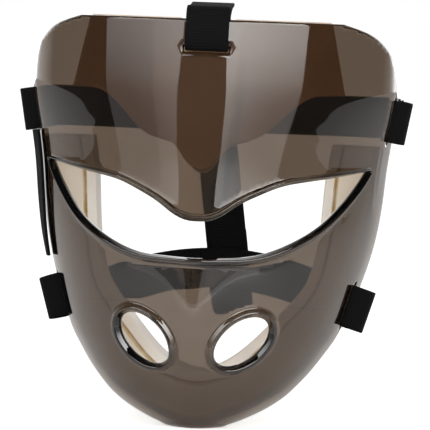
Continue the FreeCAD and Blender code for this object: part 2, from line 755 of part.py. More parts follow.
def harness():
    """The bands and the crown strap, and the fleece and hook tabs on their outer sides."""
    lift = FLEECE_THICK + WEB_GAP
    fleece_width = WEB_WIDTH - 2 * FLEECE_EDGE
    pieces = {
        "upper_band": rear_band(UPPER_RUNS, UPPER_BAND_HEIGHT),
        "lower_band": rear_band(LOWER_RUNS, -LOWER_BAND_DROP),
        "crown_strap": crown_strap(),
        "harness_stitching": harness_stitching(),
    }
    for place, runs in (("temple", UPPER_RUNS), ("jaw", LOWER_RUNS)):
        for name, run in runs.items():
            fleece = run.plate(0.0, FLEECE_THICK, 0.0, TAB_LENGTH + TAB_TRAVEL, fleece_width)
            pieces[f"{place}_fleece_{name}"] = fleece
            pieces[f"{place}_tab_{name}"] = run.plate(lift, TAB_THICK, 0.0, TAB_LENGTH, WEB_WIDTH)
    low = -LOWER_BAND_DROP - WEB_WIDTH / 2
    fleece_top = low + TAIL_LENGTH / 2 + TAB_TRAVEL
    tail_top = TAIL_LENGTH - TAIL_DROP
    pieces["crown_fleece"] = back_plate(0.0, FLEECE_THICK, fleece_top, TAIL_LENGTH / 2, fleece_width)
    pieces["crown_tail"] = back_plate(lift, TAB_THICK, tail_top, TAIL_LENGTH, WEB_WIDTH)
    return pieces


def webbing_loops():
    pieces = {"crown_loop": webbing_loop(CROWN_SEAT, CROWN_LOOP_REACH, CROWN_LOOP_BULGE)}
    for name in SIDES:
        pieces[f"temple_loop_{name}"] = webbing_loop(TEMPLE_SEATS[name], TEMPLE_LOOP_REACH, TEMPLE_LOOP_BULGE)
        pieces[f"jaw_loop_{name}"] = webbing_loop(JAW_SEATS[name], JAW_LOOP_REACH, JAW_LOOP_BULGE)
    return pieces


def main():
    os.makedirs("parts", exist_ok=True)
    pieces = {"shell": shell(), "side_tail_left": side_tail()}
    for group in (rim_foam(), forehead_foam(), webbing_loops(), harness()):
        pieces.update(group)
    for name, shape in pieces.items():
        write(name, shape)


if __name__ == "__main__":
    main()
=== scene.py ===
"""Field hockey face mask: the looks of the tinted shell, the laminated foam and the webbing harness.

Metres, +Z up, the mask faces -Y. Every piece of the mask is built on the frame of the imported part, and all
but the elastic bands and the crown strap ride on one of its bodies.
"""

from __future__ import annotations

import logging
import math
from dataclasses import dataclass, field, replace
from enum import Enum
from typing import Callable, Iterable, Sequence

import bpy
from mathutils import Matrix, Vector, geometry, kdtree
from mathutils.bvhtree import BVHTree

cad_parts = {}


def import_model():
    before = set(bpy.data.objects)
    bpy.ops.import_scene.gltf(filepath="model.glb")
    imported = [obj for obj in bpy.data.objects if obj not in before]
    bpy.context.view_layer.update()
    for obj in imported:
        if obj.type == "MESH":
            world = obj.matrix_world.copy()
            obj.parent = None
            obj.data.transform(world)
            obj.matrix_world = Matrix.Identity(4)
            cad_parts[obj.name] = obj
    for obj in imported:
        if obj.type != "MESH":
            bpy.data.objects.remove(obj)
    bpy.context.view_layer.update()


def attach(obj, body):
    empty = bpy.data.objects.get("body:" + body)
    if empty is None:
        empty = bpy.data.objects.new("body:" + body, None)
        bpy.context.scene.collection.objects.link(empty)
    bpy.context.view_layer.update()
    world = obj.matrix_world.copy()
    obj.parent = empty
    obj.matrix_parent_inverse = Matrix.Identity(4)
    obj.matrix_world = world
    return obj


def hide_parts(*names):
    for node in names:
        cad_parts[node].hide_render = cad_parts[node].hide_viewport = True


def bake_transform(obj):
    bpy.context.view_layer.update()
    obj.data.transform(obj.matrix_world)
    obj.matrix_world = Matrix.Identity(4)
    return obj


log = logging.getLogger("face_mask")

MM = 0.001

# Rows of the shell's form: height share, half width share, front share and skirt share of the depth
FORM_SHARES = (
    (-0.040, 0.105, 0.300, 0.450),
    (0.000, 0.182, 0.235, 0.475),
    (0.015, 0.263, 0.210, 0.495),
    (0.037, 0.361, 0.175, 0.530),
    (0.058, 0.434, 0.145, 0.560),
    (0.080, 0.493, 0.116, 0.590),
    (0.127, 0.590, 0.068, 0.675),
    (0.174, 0.666, 0.034, 0.750),
    (0.222, 0.732, 0.014, 0.820),
    (0.329, 0.826, 0.010, 0.935),
    (0.437, 0.897, 0.045, 1.030),
    (0.544, 0.938, 0.100, 1.072),
    (0.643, 0.963, 0.145, 1.065),
    (0.720, 0.988, 0.172, 1.045),
    (0.763, 1.005, 0.187, 1.030),
    (0.815, 1.021, 0.206, 1.015),
    (0.858, 1.022, 0.223, 1.008),
    (0.923, 1.012, 0.252, 1.003),
    (1.040, 0.992, 0.310, 1.000),
)
# The rear rim seen from the side, from the chin up: height share and depth share
RIM_SHARES = (
    (0.000, 0.375),
    (0.058, 0.48),
    (0.127, 0.592),
    (0.213, 0.73),
    (0.320, 0.875),
    (0.430, 0.965),
    (0.550, 1.0),
    (0.666, 0.985),
    (0.772, 0.94),
    (0.858, 0.87),
    (0.914, 0.80),
    (0.950, 0.735),
    (0.977, 0.655),
    (1.000, 0.53),
)
RIDGE_SHARES = ((-0.04, 0.35), (0.08, 0.55), (0.2, 1.0), (0.33, 1.0), (0.43, 0.45), (0.52, 0.0), (1.04, 0.0))
# Half of the eye opening from the middle to its corner: shares of its half width and of its top or bottom
EYE_UPPER_SHARES = (
    (0.0, 0.01),
    (0.055, 0.02),
    (0.125, 0.095),
    (0.245, 0.34),
    (0.375, 0.55),
    (0.49, 0.70),
    (0.64, 0.80),
    (0.80, 0.88),
    (1.0, 1.0),
)
EYE_LOWER_SHARES = (
    (0.0, -1.0),
    (0.18, -0.975),
    (0.32, -0.935),
    (0.45, -0.795),
    (0.58, -0.545),
    (0.735, -0.11),
    (0.86, 0.455),
    (0.95, 0.975),
    (1.0, 1.345),
)
# Inner face of the foam band, from its top end to the chin's middle: shares of its half width and low point
BAND_SHARES = (
    (1.04, 0.52),
    (1.0, 0.32),
    (0.97, 0.0),
    (0.93, -0.25),
    (0.85, -0.45),
    (0.63, -0.66),
    (0.42, -0.83),
    (0.22, -0.95),
    (0.0, -1.0),
)
# Lower edge of the forehead pad from its end to the tongue: shares of its half width and of the edge's height
FOREHEAD_EDGE_SHARES = ((1.0, 1.0), (0.78, 0.99), (0.56, 0.80), (0.36, 0.64), (0.22, 0.60))
# A webbing loop in its own plane: shares of its bulge and of its reach beyond the slot, and its way back
LOOP_OUT_SHARES = ((0.55, 0.06), (0.93, 0.22), (1.0, 0.45), (0.78, 0.72), (0.38, 0.92))
LOOP_BACK_SHARES = (1.0, 0.8, 0.6, 0.4, 0.22)
LOOP_ENTRY_SHARE = 0.72
# A lip from the opening's edge outward: share of its width and share of its height
LIP_SHARES = (
    (0.03, 0.45),
    (0.10, 0.78),
    (0.22, 0.97),
    (0.40, 1.0),
    (0.60, 0.86),
    (0.78, 0.55),
    (0.92, 0.22),
    (1.08, 0.05),
    (1.30, 0.0),
)
# Columns of points across the front and the rear face of the foam
FACE_SHARES = (0.035, 0.25, 0.5, 0.75, 0.965)

Row = Sequence[Sequence[float]]
Flat = tuple[float, float]
Colour = tuple[float, float, float]
# A station of the foam band: its place, the way towards the shell and the inner face's normal
Station = tuple[Vector, Vector, Vector]
# A closed row of points, each with how near it is to the glue
Ring = list[tuple[Vector, float]]


class Side(Enum):
    """The wearer's two sides, as the viewer sees them."""

    LEFT = "left"
    RIGHT = "right"

    @property
    def sign(self) -> int:
        """Where the side lies along X."""
        return -1 if self is Side.LEFT else 1


class Layer(Enum):
    """The two layers of the laminated foam."""

    PAD = "pad"
    LINER = "liner"

    @property
    def slot(self) -> str:
        """The record's slot for the layer's finish."""
        return "foam_outer" if self is Layer.PAD else "foam_inner"


class Body(Enum):
    """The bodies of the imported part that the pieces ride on."""

    MASK = "mask"
    HARNESS = "harness"


def ease(share: float) -> float:
    """Goes smoothly from 0 to 1.

    Args:
        share: Where along the way, from 0 to 1.

    Returns:
        The eased share.
    """
    held = min(max(share, 0.0), 1.0)
    return held * held * (3.0 - 2.0 * held)


def through(rows: Row, column: int, place: float) -> float:
    """Reads a smooth curve through one column of a table.

    Args:
        rows: The table, whose first column holds the places.
        column: The column that is read.
        place: Where it is read.

    Returns:
        The column's value there.
    """
    last = len(rows) - 1
    index = 0
    for i in range(last):
        if rows[i][0] <= place:
            index = i

    def slope(i: int) -> float:
        """The column's slope at a row."""
        low, high = max(i - 1, 0), min(i + 1, last)
        return (rows[high][column] - rows[low][column]) / (rows[high][0] - rows[low][0])

    start, end = rows[index], rows[index + 1]
    span = end[0] - start[0]
    along = (place - start[0]) / span
    bend = along * along * (3.0 - 2.0 * along)
    lead = along * (1.0 - along) * (1.0 - along)
    trail = along * along * (along - 1.0)
    rise = end[column] - start[column]
    return start[column] + rise * bend + slope(index) * span * lead + slope(index + 1) * span * trail


def smooth_line(points: Sequence[Vector], spacing: float, closed: bool = False) -> list[Vector]:
    """Runs a smooth curve with even bending through points.

    Args:
        points: The points, in order.
        spacing: The longest step between the points returned.
        closed: Whether the curve comes back to its first point.

    Returns:
        Points along the curve. A closed curve's first point isn't repeated at its end.
    """
    wrap = min(5, len(points) - 1)
    ring = list(points[-wrap:]) + list(points) + list(points[: wrap + 1]) if closed else list(points)
    count = len(ring)
    steps = [max((ring[i + 1] - ring[i]).length, 1e-9) for i in range(count - 1)]
    zero = ring[0] * 0.0
    bends = [zero] * count
    ratios = [0.0] * count
    for i in range(1, count - 1):
        slope = (ring[i + 1] - ring[i]) / steps[i] - (ring[i] - ring[i - 1]) / steps[i - 1]
        pivot = 2.0 * (steps[i - 1] + steps[i]) - steps[i - 1] * ratios[i - 1]
        ratios[i] = steps[i] / pivot
        bends[i] = (slope * 6.0 - bends[i - 1] * steps[i - 1]) / pivot
    for i in range(count - 2, 0, -1):
        bends[i] = bends[i] - bends[i + 1] * ratios[i]
    first, last = (wrap, wrap + len(points)) if closed else (0, count - 1)
    line = []
    for i in range(first, last):
        parts = max(1, math.ceil(steps[i] / spacing))
        for k in range(parts):
            b = k / parts
            a = 1.0 - b
            lift = bends[i] * (a**3 - a) + bends[i + 1] * (b**3 - b)
            line.append(ring[i] * a + ring[i + 1] * b + lift * (steps[i] * steps[i] / 6.0))
    return line if closed else line + [ring[-1].copy()]


def even_steps(line: Sequence[Vector], spacing: float) -> list[Vector]:
    """Spreads points evenly along a line.

    Args:
        line: The line's points.
        spacing: The distance wanted between the points.

    Returns:
        The spread points, both ends included.
    """
    lengths = [0.0]
    for a, b in zip(line, line[1:]):
        lengths.append(lengths[-1] + (b - a).length)
    count = max(2, round(lengths[-1] / spacing) + 1)
    spread, index = [], 0
    for k in range(count):
        want = lengths[-1] * k / (count - 1)
        while index < len(line) - 2 and lengths[index + 1] < want:
            index += 1
        span = max(lengths[index + 1] - lengths[index], 1e-12)
        spread.append(line[index].lerp(line[index + 1], (want - lengths[index]) / span))
    return spread


def mirrored(points: Sequence[Vector]) -> list[Vector]:
    """The points on the other side of the middle plane, in reverse order."""
    return [Vector((-p.x, p.y, p.z)) for p in reversed(points)]


def bezier(a: Vector, b: Vector, c: Vector, d: Vector, share: float) -> Vector:
    """A point of a cubic curve from a to d, pulled by b and c."""
    rest = 1.0 - share
    return a * rest**3 + b * (3 * rest * rest * share) + c * (3 * rest * share * share) + d * share**3


@dataclass(frozen=True)
class ShellForm:
    """The moulded face form that the shell, the foam and the slots follow."""

    width: float = 216.0 * MM
    crown_rise: float = 113.0 * MM
    chin_drop: float = 119.5 * MM
    front_reach: float = 92.0 * MM
    rear_reach: float = 22.0 * MM
    wall: float = 3.0 * MM
    ridge_height: float = 5.0 * MM
    ridge_top_width: float = 27.0 * MM
    ridge_low_width: float = 12.0 * MM
    front_turn_deg: float = 58.0
    crease_turn_deg: float = 19.0
    jaw_turn_deg: float = 86.0
    crease_share: float = 0.81
    crease_span_share: float = 0.05
    eye_top: float = 29.6 * MM
    eye_bottom: float = 22.0 * MM
    hole_drop: float = 68.0 * MM
    tables: dict = field(default_factory=dict, hash=False, compare=False)

    @property
    def height(self) -> float:
        """From the chin's flat up to the top edge."""
        return self.crown_rise + self.chin_drop

    @property
    def depth(self) -> float:
        """From the mouth back to the rim at the temple."""
        return self.front_reach + self.rear_reach

    def height_share(self, z: float) -> float:
        """A height as a share of the shell's height."""
        return (z + self.chin_drop) / self.height

    def depth_at(self, share: float) -> float:
        """A share of the shell's depth as a place along Y."""
        return share * self.depth - self.front_reach

    def rim_depth(self, z: float) -> float:
        """The rear rim's place along Y at a height."""
        return self.depth_at(through(RIM_SHARES, 1, self.height_share(z)))

    def section(self, creased: float) -> list[Flat]:
        """The unit form of a section, from the middle to the skirt, as running sums.

        Args:
            creased: From 0, a plain bow, to 1, a panel with a crease and a wing.

        Returns:
            The run sideways and the run back at evenly spaced places across.
        """
        key = round(creased, 4)
        if key not in self.tables:
            steps = 240
            side = back = 0.0
            sums = [(0.0, 0.0)]
            for k in range(steps):
                part = (k + 0.5) / steps
                panel = self.front_turn_deg * min(part / self.crease_share, 1.0)
                wing = self.crease_turn_deg * ease((part - self.crease_share) / self.crease_span_share)
                heading = math.radians(key * (panel + wing) + (1.0 - key) * self.jaw_turn_deg * part)
                side += math.cos(heading) / steps
                back += math.sin(heading) / steps
                sums.append((side, back))
            self.tables[key] = sums
        return self.tables[key]

    def point(self, across: float, z: float) -> Vector:
        """A point of the outer face.

        Args:
            across: From -1 to 1, from one side's skirt to the other's.
            z: The height.

        Returns:
            The point.
        """
        share = self.height_share(z)
        creased = ease((z + self.eye_bottom / 4) / (self.eye_top + self.eye_bottom / 4))
        sums = self.section(creased)
        place = min(abs(across), 1.0) * (len(sums) - 1)
        index = min(int(place), len(sums) - 2)
        part = place - index
        side = sums[index][0] * (1 - part) + sums[index + 1][0] * part
        back = sums[index][1] * (1 - part) + sums[index + 1][1] * part
        half = self.width / 2 * through(FORM_SHARES, 1, share)
        ridge = self.ridge_height * through(RIDGE_SHARES, 1, share)
        front = self.depth_at(through(FORM_SHARES, 2, share)) + ridge
        skirt = self.depth_at(through(FORM_SHARES, 3, share))
        x = math.copysign(half * side / sums[-1][0], across)
        widen = ease((z + self.hole_drop) / self.hole_drop)
        spread = self.ridge_low_width + (self.ridge_top_width - self.ridge_low_width) * widen
        keel = ridge * math.exp(-((x / spread) ** 2))
        return Vector((x, front + (skirt - front) * back / sums[-1][1] - keel, z))

    def normal(self, across: float, z: float) -> Vector:
        """The outer face's normal."""
        step_share = 0.004
        step = step_share * self.height
        over = self.point(across + step_share, z) - self.point(across - step_share, z)
        up = self.point(across, z + step) - self.point(across, z - step)
        return over.cross(up).normalized()

    def across_where(self, side: int, value: float, read: Callable[[float], float]) -> float:
        """Finds where across the form a rising measure reaches a value.

        Args:
            side: -1 or 1.
            value: The value wanted.
            read: The measure at a place from 0 to 1.

        Returns:
            The place across, with the side's sign.
        """
        low, high = 0.0, 1.0
        for _ in range(26):
            middle = (low + high) / 2
            if read(middle) < value:
                low = middle
            else:
                high = middle
        return side * low

    def across_at_depth(self, side: int, z: float, y: float) -> float:
        """Where across the outer face has the depth y, at a height."""
        return self.across_where(side, y, lambda a: self.point(a, z).y)

    def across_at_side(self, x: float, z: float) -> float:
        """Where across the outer face has the place x, at a height."""
        side = -1 if x < 0 else 1
        return self.across_where(side, abs(x), lambda a: self.point(a, z).x)


@dataclass(frozen=True)
class Seat:
    """A strap slot's place on the shell: its middle, and its ways out of the wall, to the rim and along."""

    middle: Vector
    out: Vector
    rimward: Vector
    along: Vector
    margin: float
    sag: float
    bow: float

    def place(self, out: float, rimward: float, along: float = 0.0) -> Vector:
        """A point from its distances out, towards the rim and along the slot."""
        return self.middle + self.out * out + self.rimward * rimward + self.along * along


@dataclass(frozen=True)
class Webbing:
    """The sizes of the webbing and of the slots that it passes."""

    width: float = 25.0 * MM
    thick: float = 1.8 * MM
    gap: float = 0.3 * MM
    slot_length: float = 27.6 * MM
    slot_width: float = 5.0 * MM
    crown_margin: float = 16.5 * MM
    temple_margin: float = 11.0 * MM
    jaw_margin: float = 13.0 * MM
    temple_height: float = 58.0 * MM
    jaw_drop: float = 50.0 * MM
    temple_lean_share: float = 0.0
    jaw_lean_share: float = 0.15

    def seat(self, form: ShellForm, across: float, z: float, along: Vector, margin: float,
             ends: Sequence[Vector], reach_rim: bool) -> Seat:
        """Works out a slot's seat.

        Args:
            form: The shell's form.
            across: The slot's place across.
            z: Its height.
            along: The way along the slot, roughly.
            margin: From the slot to the edge of the shell.
            ends: Points of the outer face at the slot's ends.
            reach_rim: Whether the wall is followed to the rear rim.

        Returns:
            The seat.
        """
        out = form.normal(across, z)
        along = (along - out * along.dot(out)).normalized()
        rimward = along.cross(out).normalized()
        if rimward.y + rimward.z < 0:
            rimward.negate()
        middle = form.point(across, z) - out * (form.wall / 2)
        face = middle + out * (form.wall / 2)
        bow = max((face - end).dot(out) for end in ends)
        sag = 0.0
        if reach_rim:
            side = -1 if across < 0 else 1
            rim = form.point(form.across_at_depth(side, z, form.rim_depth(z)), z)
            sag = (rim - face).dot(out) / (rim - face).dot(rimward) ** 2
        return Seat(middle, out, rimward, along, margin, sag, bow)

    def side_seat(self, form: ShellForm, side: int, z: float, margin: float, lean_share: float) -> Seat:
        """The seat of a slot beside the face, which leans by a share of the rim's lean."""
        across = form.across_at_depth(side, z, form.rim_depth(z) - margin)
        step = self.width / 2
        top, bottom = form.point(across, z + step), form.point(across, z - step)
        lean = (form.rim_depth(z + step) - form.rim_depth(z - step)) * lean_share
        along = Vector((top.x - bottom.x, lean, 2 * step))
        return self.seat(form, across, z, along, margin, [top, bottom], True)

    def crown_seat(self, form: ShellForm) -> Seat:
        """The seat of the slot below the top edge."""
        z = form.crown_rise - self.crown_margin
        beside = form.point(self.width / form.width, z)
        return self.seat(form, 0.0, z, Vector((1, 0, 0)), self.crown_margin, [beside], False)

    def temple_seat(self, form: ShellForm, side: Side) -> Seat:
        """The seat of a temple slot."""
        return self.side_seat(form, side.sign, self.temple_height, self.temple_margin, self.temple_lean_share)

    def jaw_seat(self, form: ShellForm, side: Side) -> Seat:
        """The seat of a jaw slot."""
        return self.side_seat(form, side.sign, -self.jaw_drop, self.jaw_margin, self.jaw_lean_share)


class Graph:
    """The nodes of a material, a light or the world, added one at a time and wired as they come."""

    def __init__(self, owner: bpy.types.ID) -> None:
        """Clears the owner's nodes."""
        self.owner = owner
        owner.use_nodes = True
        self.tree = owner.node_tree
        self.tree.nodes.clear()

    def feed(self, node: bpy.types.Node, key: str | int, value: object) -> None:
        """Wires a socket to a node's input, or sets the input's value."""
        if isinstance(value, bpy.types.NodeSocket):
            self.tree.links.new(value, node.inputs[key])
        else:
            node.inputs[key].default_value = value

    def add(self, kind: str, inputs: dict | None = None, **settings: object) -> bpy.types.Node:
        """Adds a node.

        Args:
            kind: The node's type.
            inputs: Values or sockets for its inputs, by name or number.
            settings: The node's own settings.

        Returns:
            The node.
        """
        node = self.tree.nodes.new(kind)
        for key, value in settings.items():
            setattr(node, key, value)
        for key, value in (inputs or {}).items():
            self.feed(node, key, value)
        return node

    def math(self, operation: str, a: object, b: object = 0.0) -> bpy.types.NodeSocket:
        """One sum of two values or sockets."""
        return self.add("ShaderNodeMath", {0: a, 1: b}, operation=operation).outputs[0]

    def mix(self, factor: object, a: object, b: object) -> bpy.types.NodeSocket:
        """A blend of two colours."""
        node = self.add("ShaderNodeMix", data_type="RGBA")
        for key, value in ((0, factor), (6, a), (7, b)):
            self.feed(node, key, (*value, 1.0) if isinstance(value, tuple) else value)
        return node.outputs[2]

    def ramp(self, value: object, low: float, high: float, out_low: object = 0.0, out_high: object = 1.0,
             **settings: object) -> bpy.types.NodeSocket:
        """A value mapped from one range to another and held there."""
        inputs = {0: value, 1: low, 2: high, 3: out_low, 4: out_high}
        return self.add("ShaderNodeMapRange", inputs, **settings).outputs[0]

    def noise(self, scale: float, detail: float) -> bpy.types.NodeSocket:
        """Soft noise in the object's own space."""
        spot = self.add("ShaderNodeTexCoord").outputs["Object"]
        node = self.add("ShaderNodeTexNoise", {"Vector": spot, "Scale": scale, "Detail": detail})
        return node.outputs["Fac"]

    def cells(self, scale: float) -> bpy.types.NodeSocket:
        """How far a spot is from the middle of its small cell, in the object's own space."""
        spot = self.add("ShaderNodeTexCoord").outputs["Object"]
        return self.add("ShaderNodeTexVoronoi", {"Vector": spot, "Scale": scale}).outputs["Distance"]

    def bump(self, height: object, strength: float, distance: float,
             under: object | None = None) -> bpy.types.NodeSocket:
        """A bumped normal, on top of another where one is given."""
        inputs = {"Height": height, "Strength": strength, "Distance": distance}
        if under is not None:
            inputs["Normal"] = under
        return self.add("ShaderNodeBump", inputs).outputs[0]

    def finish(self, surface: bpy.types.NodeSocket, kind: str = "ShaderNodeOutputMaterial") -> bpy.types.ID:
        """Wires the surface out and returns the owner."""
        self.add(kind, {"Surface": surface})
        return self.owner


@dataclass(frozen=True)
class TintedPlastic:
    """Clear smoke-tinted moulded polycarbonate with a darker tint painted along its edges, partly the deeper
    tint of thick plastic and partly painted shade.
    """

    name: str
    tint: Colour
    streak: Colour
    edge: Colour
    passed: Colour
    roughness: float = 0.035
    index: float = 1.58

    def material(self) -> bpy.types.Material:
        """Makes the material.

        Returns:
            Tinted glass with faint flow streaks and a darker tint painted along the edges, partly painted
            shade, which lets the lamps through.
        """
        graph = Graph(bpy.data.materials.new(self.name))
        flow = graph.noise(9.0, 3.0)
        open_wall = graph.mix(graph.ramp(flow, 0.35, 0.7), self.tint, self.streak)
        # The point mark "edge" darkens the tint along edges and lips: partly the deeper tint of thick
        # plastic, partly painted shade that is deepest on the lower side.
        edge_tint_and_shade = graph.add("ShaderNodeAttribute", attribute_name="edge").outputs["Fac"]
        colour = graph.mix(edge_tint_and_shade, open_wall, self.edge)
        wave = graph.bump(graph.noise(14.0, 1.0), 0.10, 0.6 * MM)
        scuffs = graph.bump(graph.noise(900.0, 2.0), 0.004, 0.05 * MM, wave)
        plastic = graph.add("ShaderNodeBsdfPrincipled", {
            "Base Color": colour,
            "Roughness": self.roughness,
            "IOR": self.index,
            "Transmission Weight": 1.0,
            "Normal": scuffs,
        })
        clear = graph.add("ShaderNodeBsdfTransparent", {"Color": (*self.passed, 1.0)})
        lamp_ray = graph.add("ShaderNodeLightPath").outputs["Is Shadow Ray"]
        both = graph.add("ShaderNodeMixShader", {0: lamp_ray, 1: plastic.outputs[0], 2: clear.outputs[0]})
        return graph.finish(both.outputs[0])


@dataclass(frozen=True)
class FoamFinish:
    """Closed-cell foam with a glued edge."""

    name: str
    colour: Colour
    shade: Colour
    glue: Colour
    cell_scale: float = 1500.0

    def material(self) -> bpy.types.Material:
        """Makes the material.

        Returns:
            Matte foam with fine cells, soft blotches and a yellowed line along the glue.
        """
        graph = Graph(bpy.data.materials.new(self.name))
        blotch = graph.ramp(graph.noise(38.0, 4.0), 0.35, 0.72)
        base = graph.mix(blotch, self.colour, self.shade)
        glued = graph.add("ShaderNodeAttribute", attribute_name="glue").outputs["Fac"]
        uneven = graph.math("MULTIPLY", glued, graph.ramp(graph.noise(160.0, 3.0), 0.3, 0.7, 0.55, 1.0))
        colour = graph.mix(uneven, base, self.glue)
        skin = graph.bump(graph.noise(120.0, 3.0), 0.25, 0.5 * MM)
        pores = graph.bump(graph.cells(self.cell_scale), 0.35, 0.12 * MM, skin)
        foam = graph.add("ShaderNodeBsdfPrincipled", {
            "Base Color": colour,
            "Roughness": 0.85,
            "Sheen Weight": 0.15,
            "Subsurface Weight": 0.12,
            "Subsurface Scale": 1.5 * MM,
            "Normal": pores,
        })
        return graph.finish(foam.outputs[0])


@dataclass(frozen=True)
class WebbingFinish:
    """Black woven strap, with threads along and across and painted shade in the gaps between them."""

    name: str
    thread: Colour
    # The gap colour is painted shade between the threads.
    gap: Colour
    along_pitch: float = 1.6 * MM
    across_pitch: float = 0.9 * MM
    depth: float = 0.18 * MM

    def material(self) -> bpy.types.Material:
        """Makes the material.

        Returns:
            Dark fabric whose weave follows the strap's own length and width, with painted shade where the
            weave is low.
        """
        graph = Graph(bpy.data.materials.new(self.name))
        flat = graph.add("ShaderNodeUVMap", uv_map="strap").outputs[0]
        parts = graph.add("ShaderNodeSeparateXYZ", {0: flat})
        warp = self.wave(graph, parts.outputs[1], self.across_pitch)
        weft = self.wave(graph, parts.outputs[0], self.along_pitch)
        offset = graph.math("ADD", parts.outputs[0], graph.math("MULTIPLY", warp, self.along_pitch / 2))
        twill = self.wave(graph, offset, self.along_pitch)
        weave = graph.math("MULTIPLY", graph.math("ADD", twill, weft), 0.5)
        lint = graph.noise(700.0, 3.0)
        raised = graph.math("ADD", weave, graph.math("MULTIPLY", lint, 0.5))
        # Painted shade: the weave's low parts take the darker gap colour.
        colour = graph.mix(graph.ramp(raised, 0.2, 1.2), self.gap, self.thread)
        normal = graph.bump(raised, 0.7, self.depth)
        cloth = graph.add("ShaderNodeBsdfPrincipled", {
            "Base Color": colour,
            "Roughness": 0.9,
            "Specular IOR Level": 0.06,
            "Normal": normal,
        })
        return graph.finish(cloth.outputs[0])

    @staticmethod
    def wave(graph: Graph, place: bpy.types.NodeSocket, pitch: float) -> bpy.types.NodeSocket:
        """Threads side by side: a wave from 0 to 1 along a coordinate."""
        turn = graph.math("MULTIPLY", place, 2 * math.pi / pitch)
        return graph.ramp(graph.math("SINE", turn), -1.0, 1.0)


@dataclass(frozen=True)
class FleeceFinish:
    """Brushed loop fleece, or the hooks that grip it."""

    name: str
    pile: Colour
    root_shade: Colour
    tuft_scale: float = 1100.0
    sheen: float = 0.5

    def material(self) -> bpy.types.Material:
        """Makes the material.

        Returns:
            Dark pile with tufts, with painted shade at the roots of the pile.
        """
        graph = Graph(bpy.data.materials.new(self.name))
        tufts = graph.math("ADD", graph.cells(self.tuft_scale), graph.noise(260.0, 4.0))
        # Painted shade: the low parts of the tufts take the darker root colour.
        colour = graph.mix(graph.ramp(tufts, 0.4, 1.1), self.root_shade, self.pile)
        normal = graph.bump(tufts, 0.6, 0.2 * MM)
        pile = graph.add("ShaderNodeBsdfPrincipled", {
            "Base Color": colour,
            "Roughness": 0.92,
            "Sheen Weight": self.sheen,
            "Normal": normal,
        })
        return graph.finish(pile.outputs[0])


@dataclass(frozen=True)
class ThreadFinish:
    """Bonded sewing thread."""

    name: str
    colour: Colour
    shade_share: float = 0.6

    def material(self) -> bpy.types.Material:
        """Makes the material.

        Returns:
            Slightly waxy thread with a fine twist.
        """
        graph = Graph(bpy.data.materials.new(self.name))
        twist = graph.noise(2500.0, 2.0)
        shade = tuple(c * self.shade_share for c in self.colour)
        colour = graph.mix(graph.ramp(twist, 0.3, 0.7), shade, self.colour)
        thread = graph.add("ShaderNodeBsdfPrincipled", {
            "Base Color": colour,
            "Roughness": 0.5,
            "Normal": graph.bump(twist, 0.5, 0.05 * MM),
        })
        return graph.finish(thread.outputs[0])


class Finishes:
    """The mask's finishes, made once."""

    def __init__(self) -> None:
        """Makes each material."""
        glue = (0.46, 0.33, 0.15)
        # The near-black edge colour is partly the deeper tint of thick plastic and partly painted shade.
        self.wall = TintedPlastic(
            "tinted_wall", tint=(0.125, 0.090, 0.064), streak=(0.105, 0.075, 0.052),
            edge=(0.008, 0.006, 0.005), passed=(0.78, 0.74, 0.70)).material()
        outer = FoamFinish("outer_foam", colour=(0.80, 0.76, 0.67), shade=(0.74, 0.69, 0.59), glue=glue)
        inner = FoamFinish(
            "inner_foam", colour=(0.86, 0.84, 0.80), shade=(0.80, 0.78, 0.73), glue=glue, cell_scale=1900.0)
        self.foam = {Layer.PAD: outer.material(), Layer.LINER: inner.material()}
        # Painted shade: a darker, browner copy of the outer foam for the pad behind the forehead, standing in
        # for the shade it lies in behind the tinted shell.
        self.shaded_brow_foam = FoamFinish(
            "shaded_brow_foam", colour=(0.70, 0.50, 0.31), shade=(0.62, 0.43, 0.26), glue=glue).material()
        # The webbing's gap colours are painted shade between the threads.
        self.webbing = WebbingFinish(
            "black_webbing", thread=(0.005, 0.005, 0.0053), gap=(0.001, 0.001, 0.001)).material()
        self.elastic = WebbingFinish(
            "black_elastic", thread=(0.006, 0.006, 0.0063), gap=(0.0013, 0.0013, 0.0013),
            across_pitch=0.7 * MM).material()
        # The fleece's root colour is painted shade at the roots of the pile.
        self.fleece = FleeceFinish(
            "black_fleece", pile=(0.028, 0.028, 0.029), root_shade=(0.010, 0.010, 0.010)).material()
        self.thread = ThreadFinish("black_thread", colour=(0.030, 0.030, 0.031)).material()


def add_piece(name: str, verts: Sequence[Vector], faces: Sequence[Sequence[int]],
              material: bpy.types.Material) -> bpy.types.Object:
    """Makes a smooth mesh object.

    Args:
        name: The piece's name.
        verts: Its points.
        faces: Its faces, as numbers of points.
        material: Its material.

    Returns:
        The object, with its faces turned outward.
    """
    mesh = bpy.data.meshes.new(name)
    mesh.from_pydata([tuple(v) for v in verts], [], [tuple(f) for f in faces])
    mesh.validate()
    mesh.materials.append(material)
    mesh.shade_smooth()
    piece = bpy.data.objects.new(name, mesh)
    bpy.context.scene.collection.objects.link(piece)
    volume = sum(mesh.vertices[p.vertices[0]].co.dot(p.normal) * p.area for p in mesh.polygons)
    if volume < 0:
        mesh.flip_normals()
    mesh.update()
    return piece


def mark_points(piece: bpy.types.Object, name: str, marks: Sequence[float]) -> None:
    """Keeps a number at each point of a piece, for its material."""
    layer = piece.data.attributes.new(name, "FLOAT", "POINT")
    layer.data.foreach_set("value", marks)


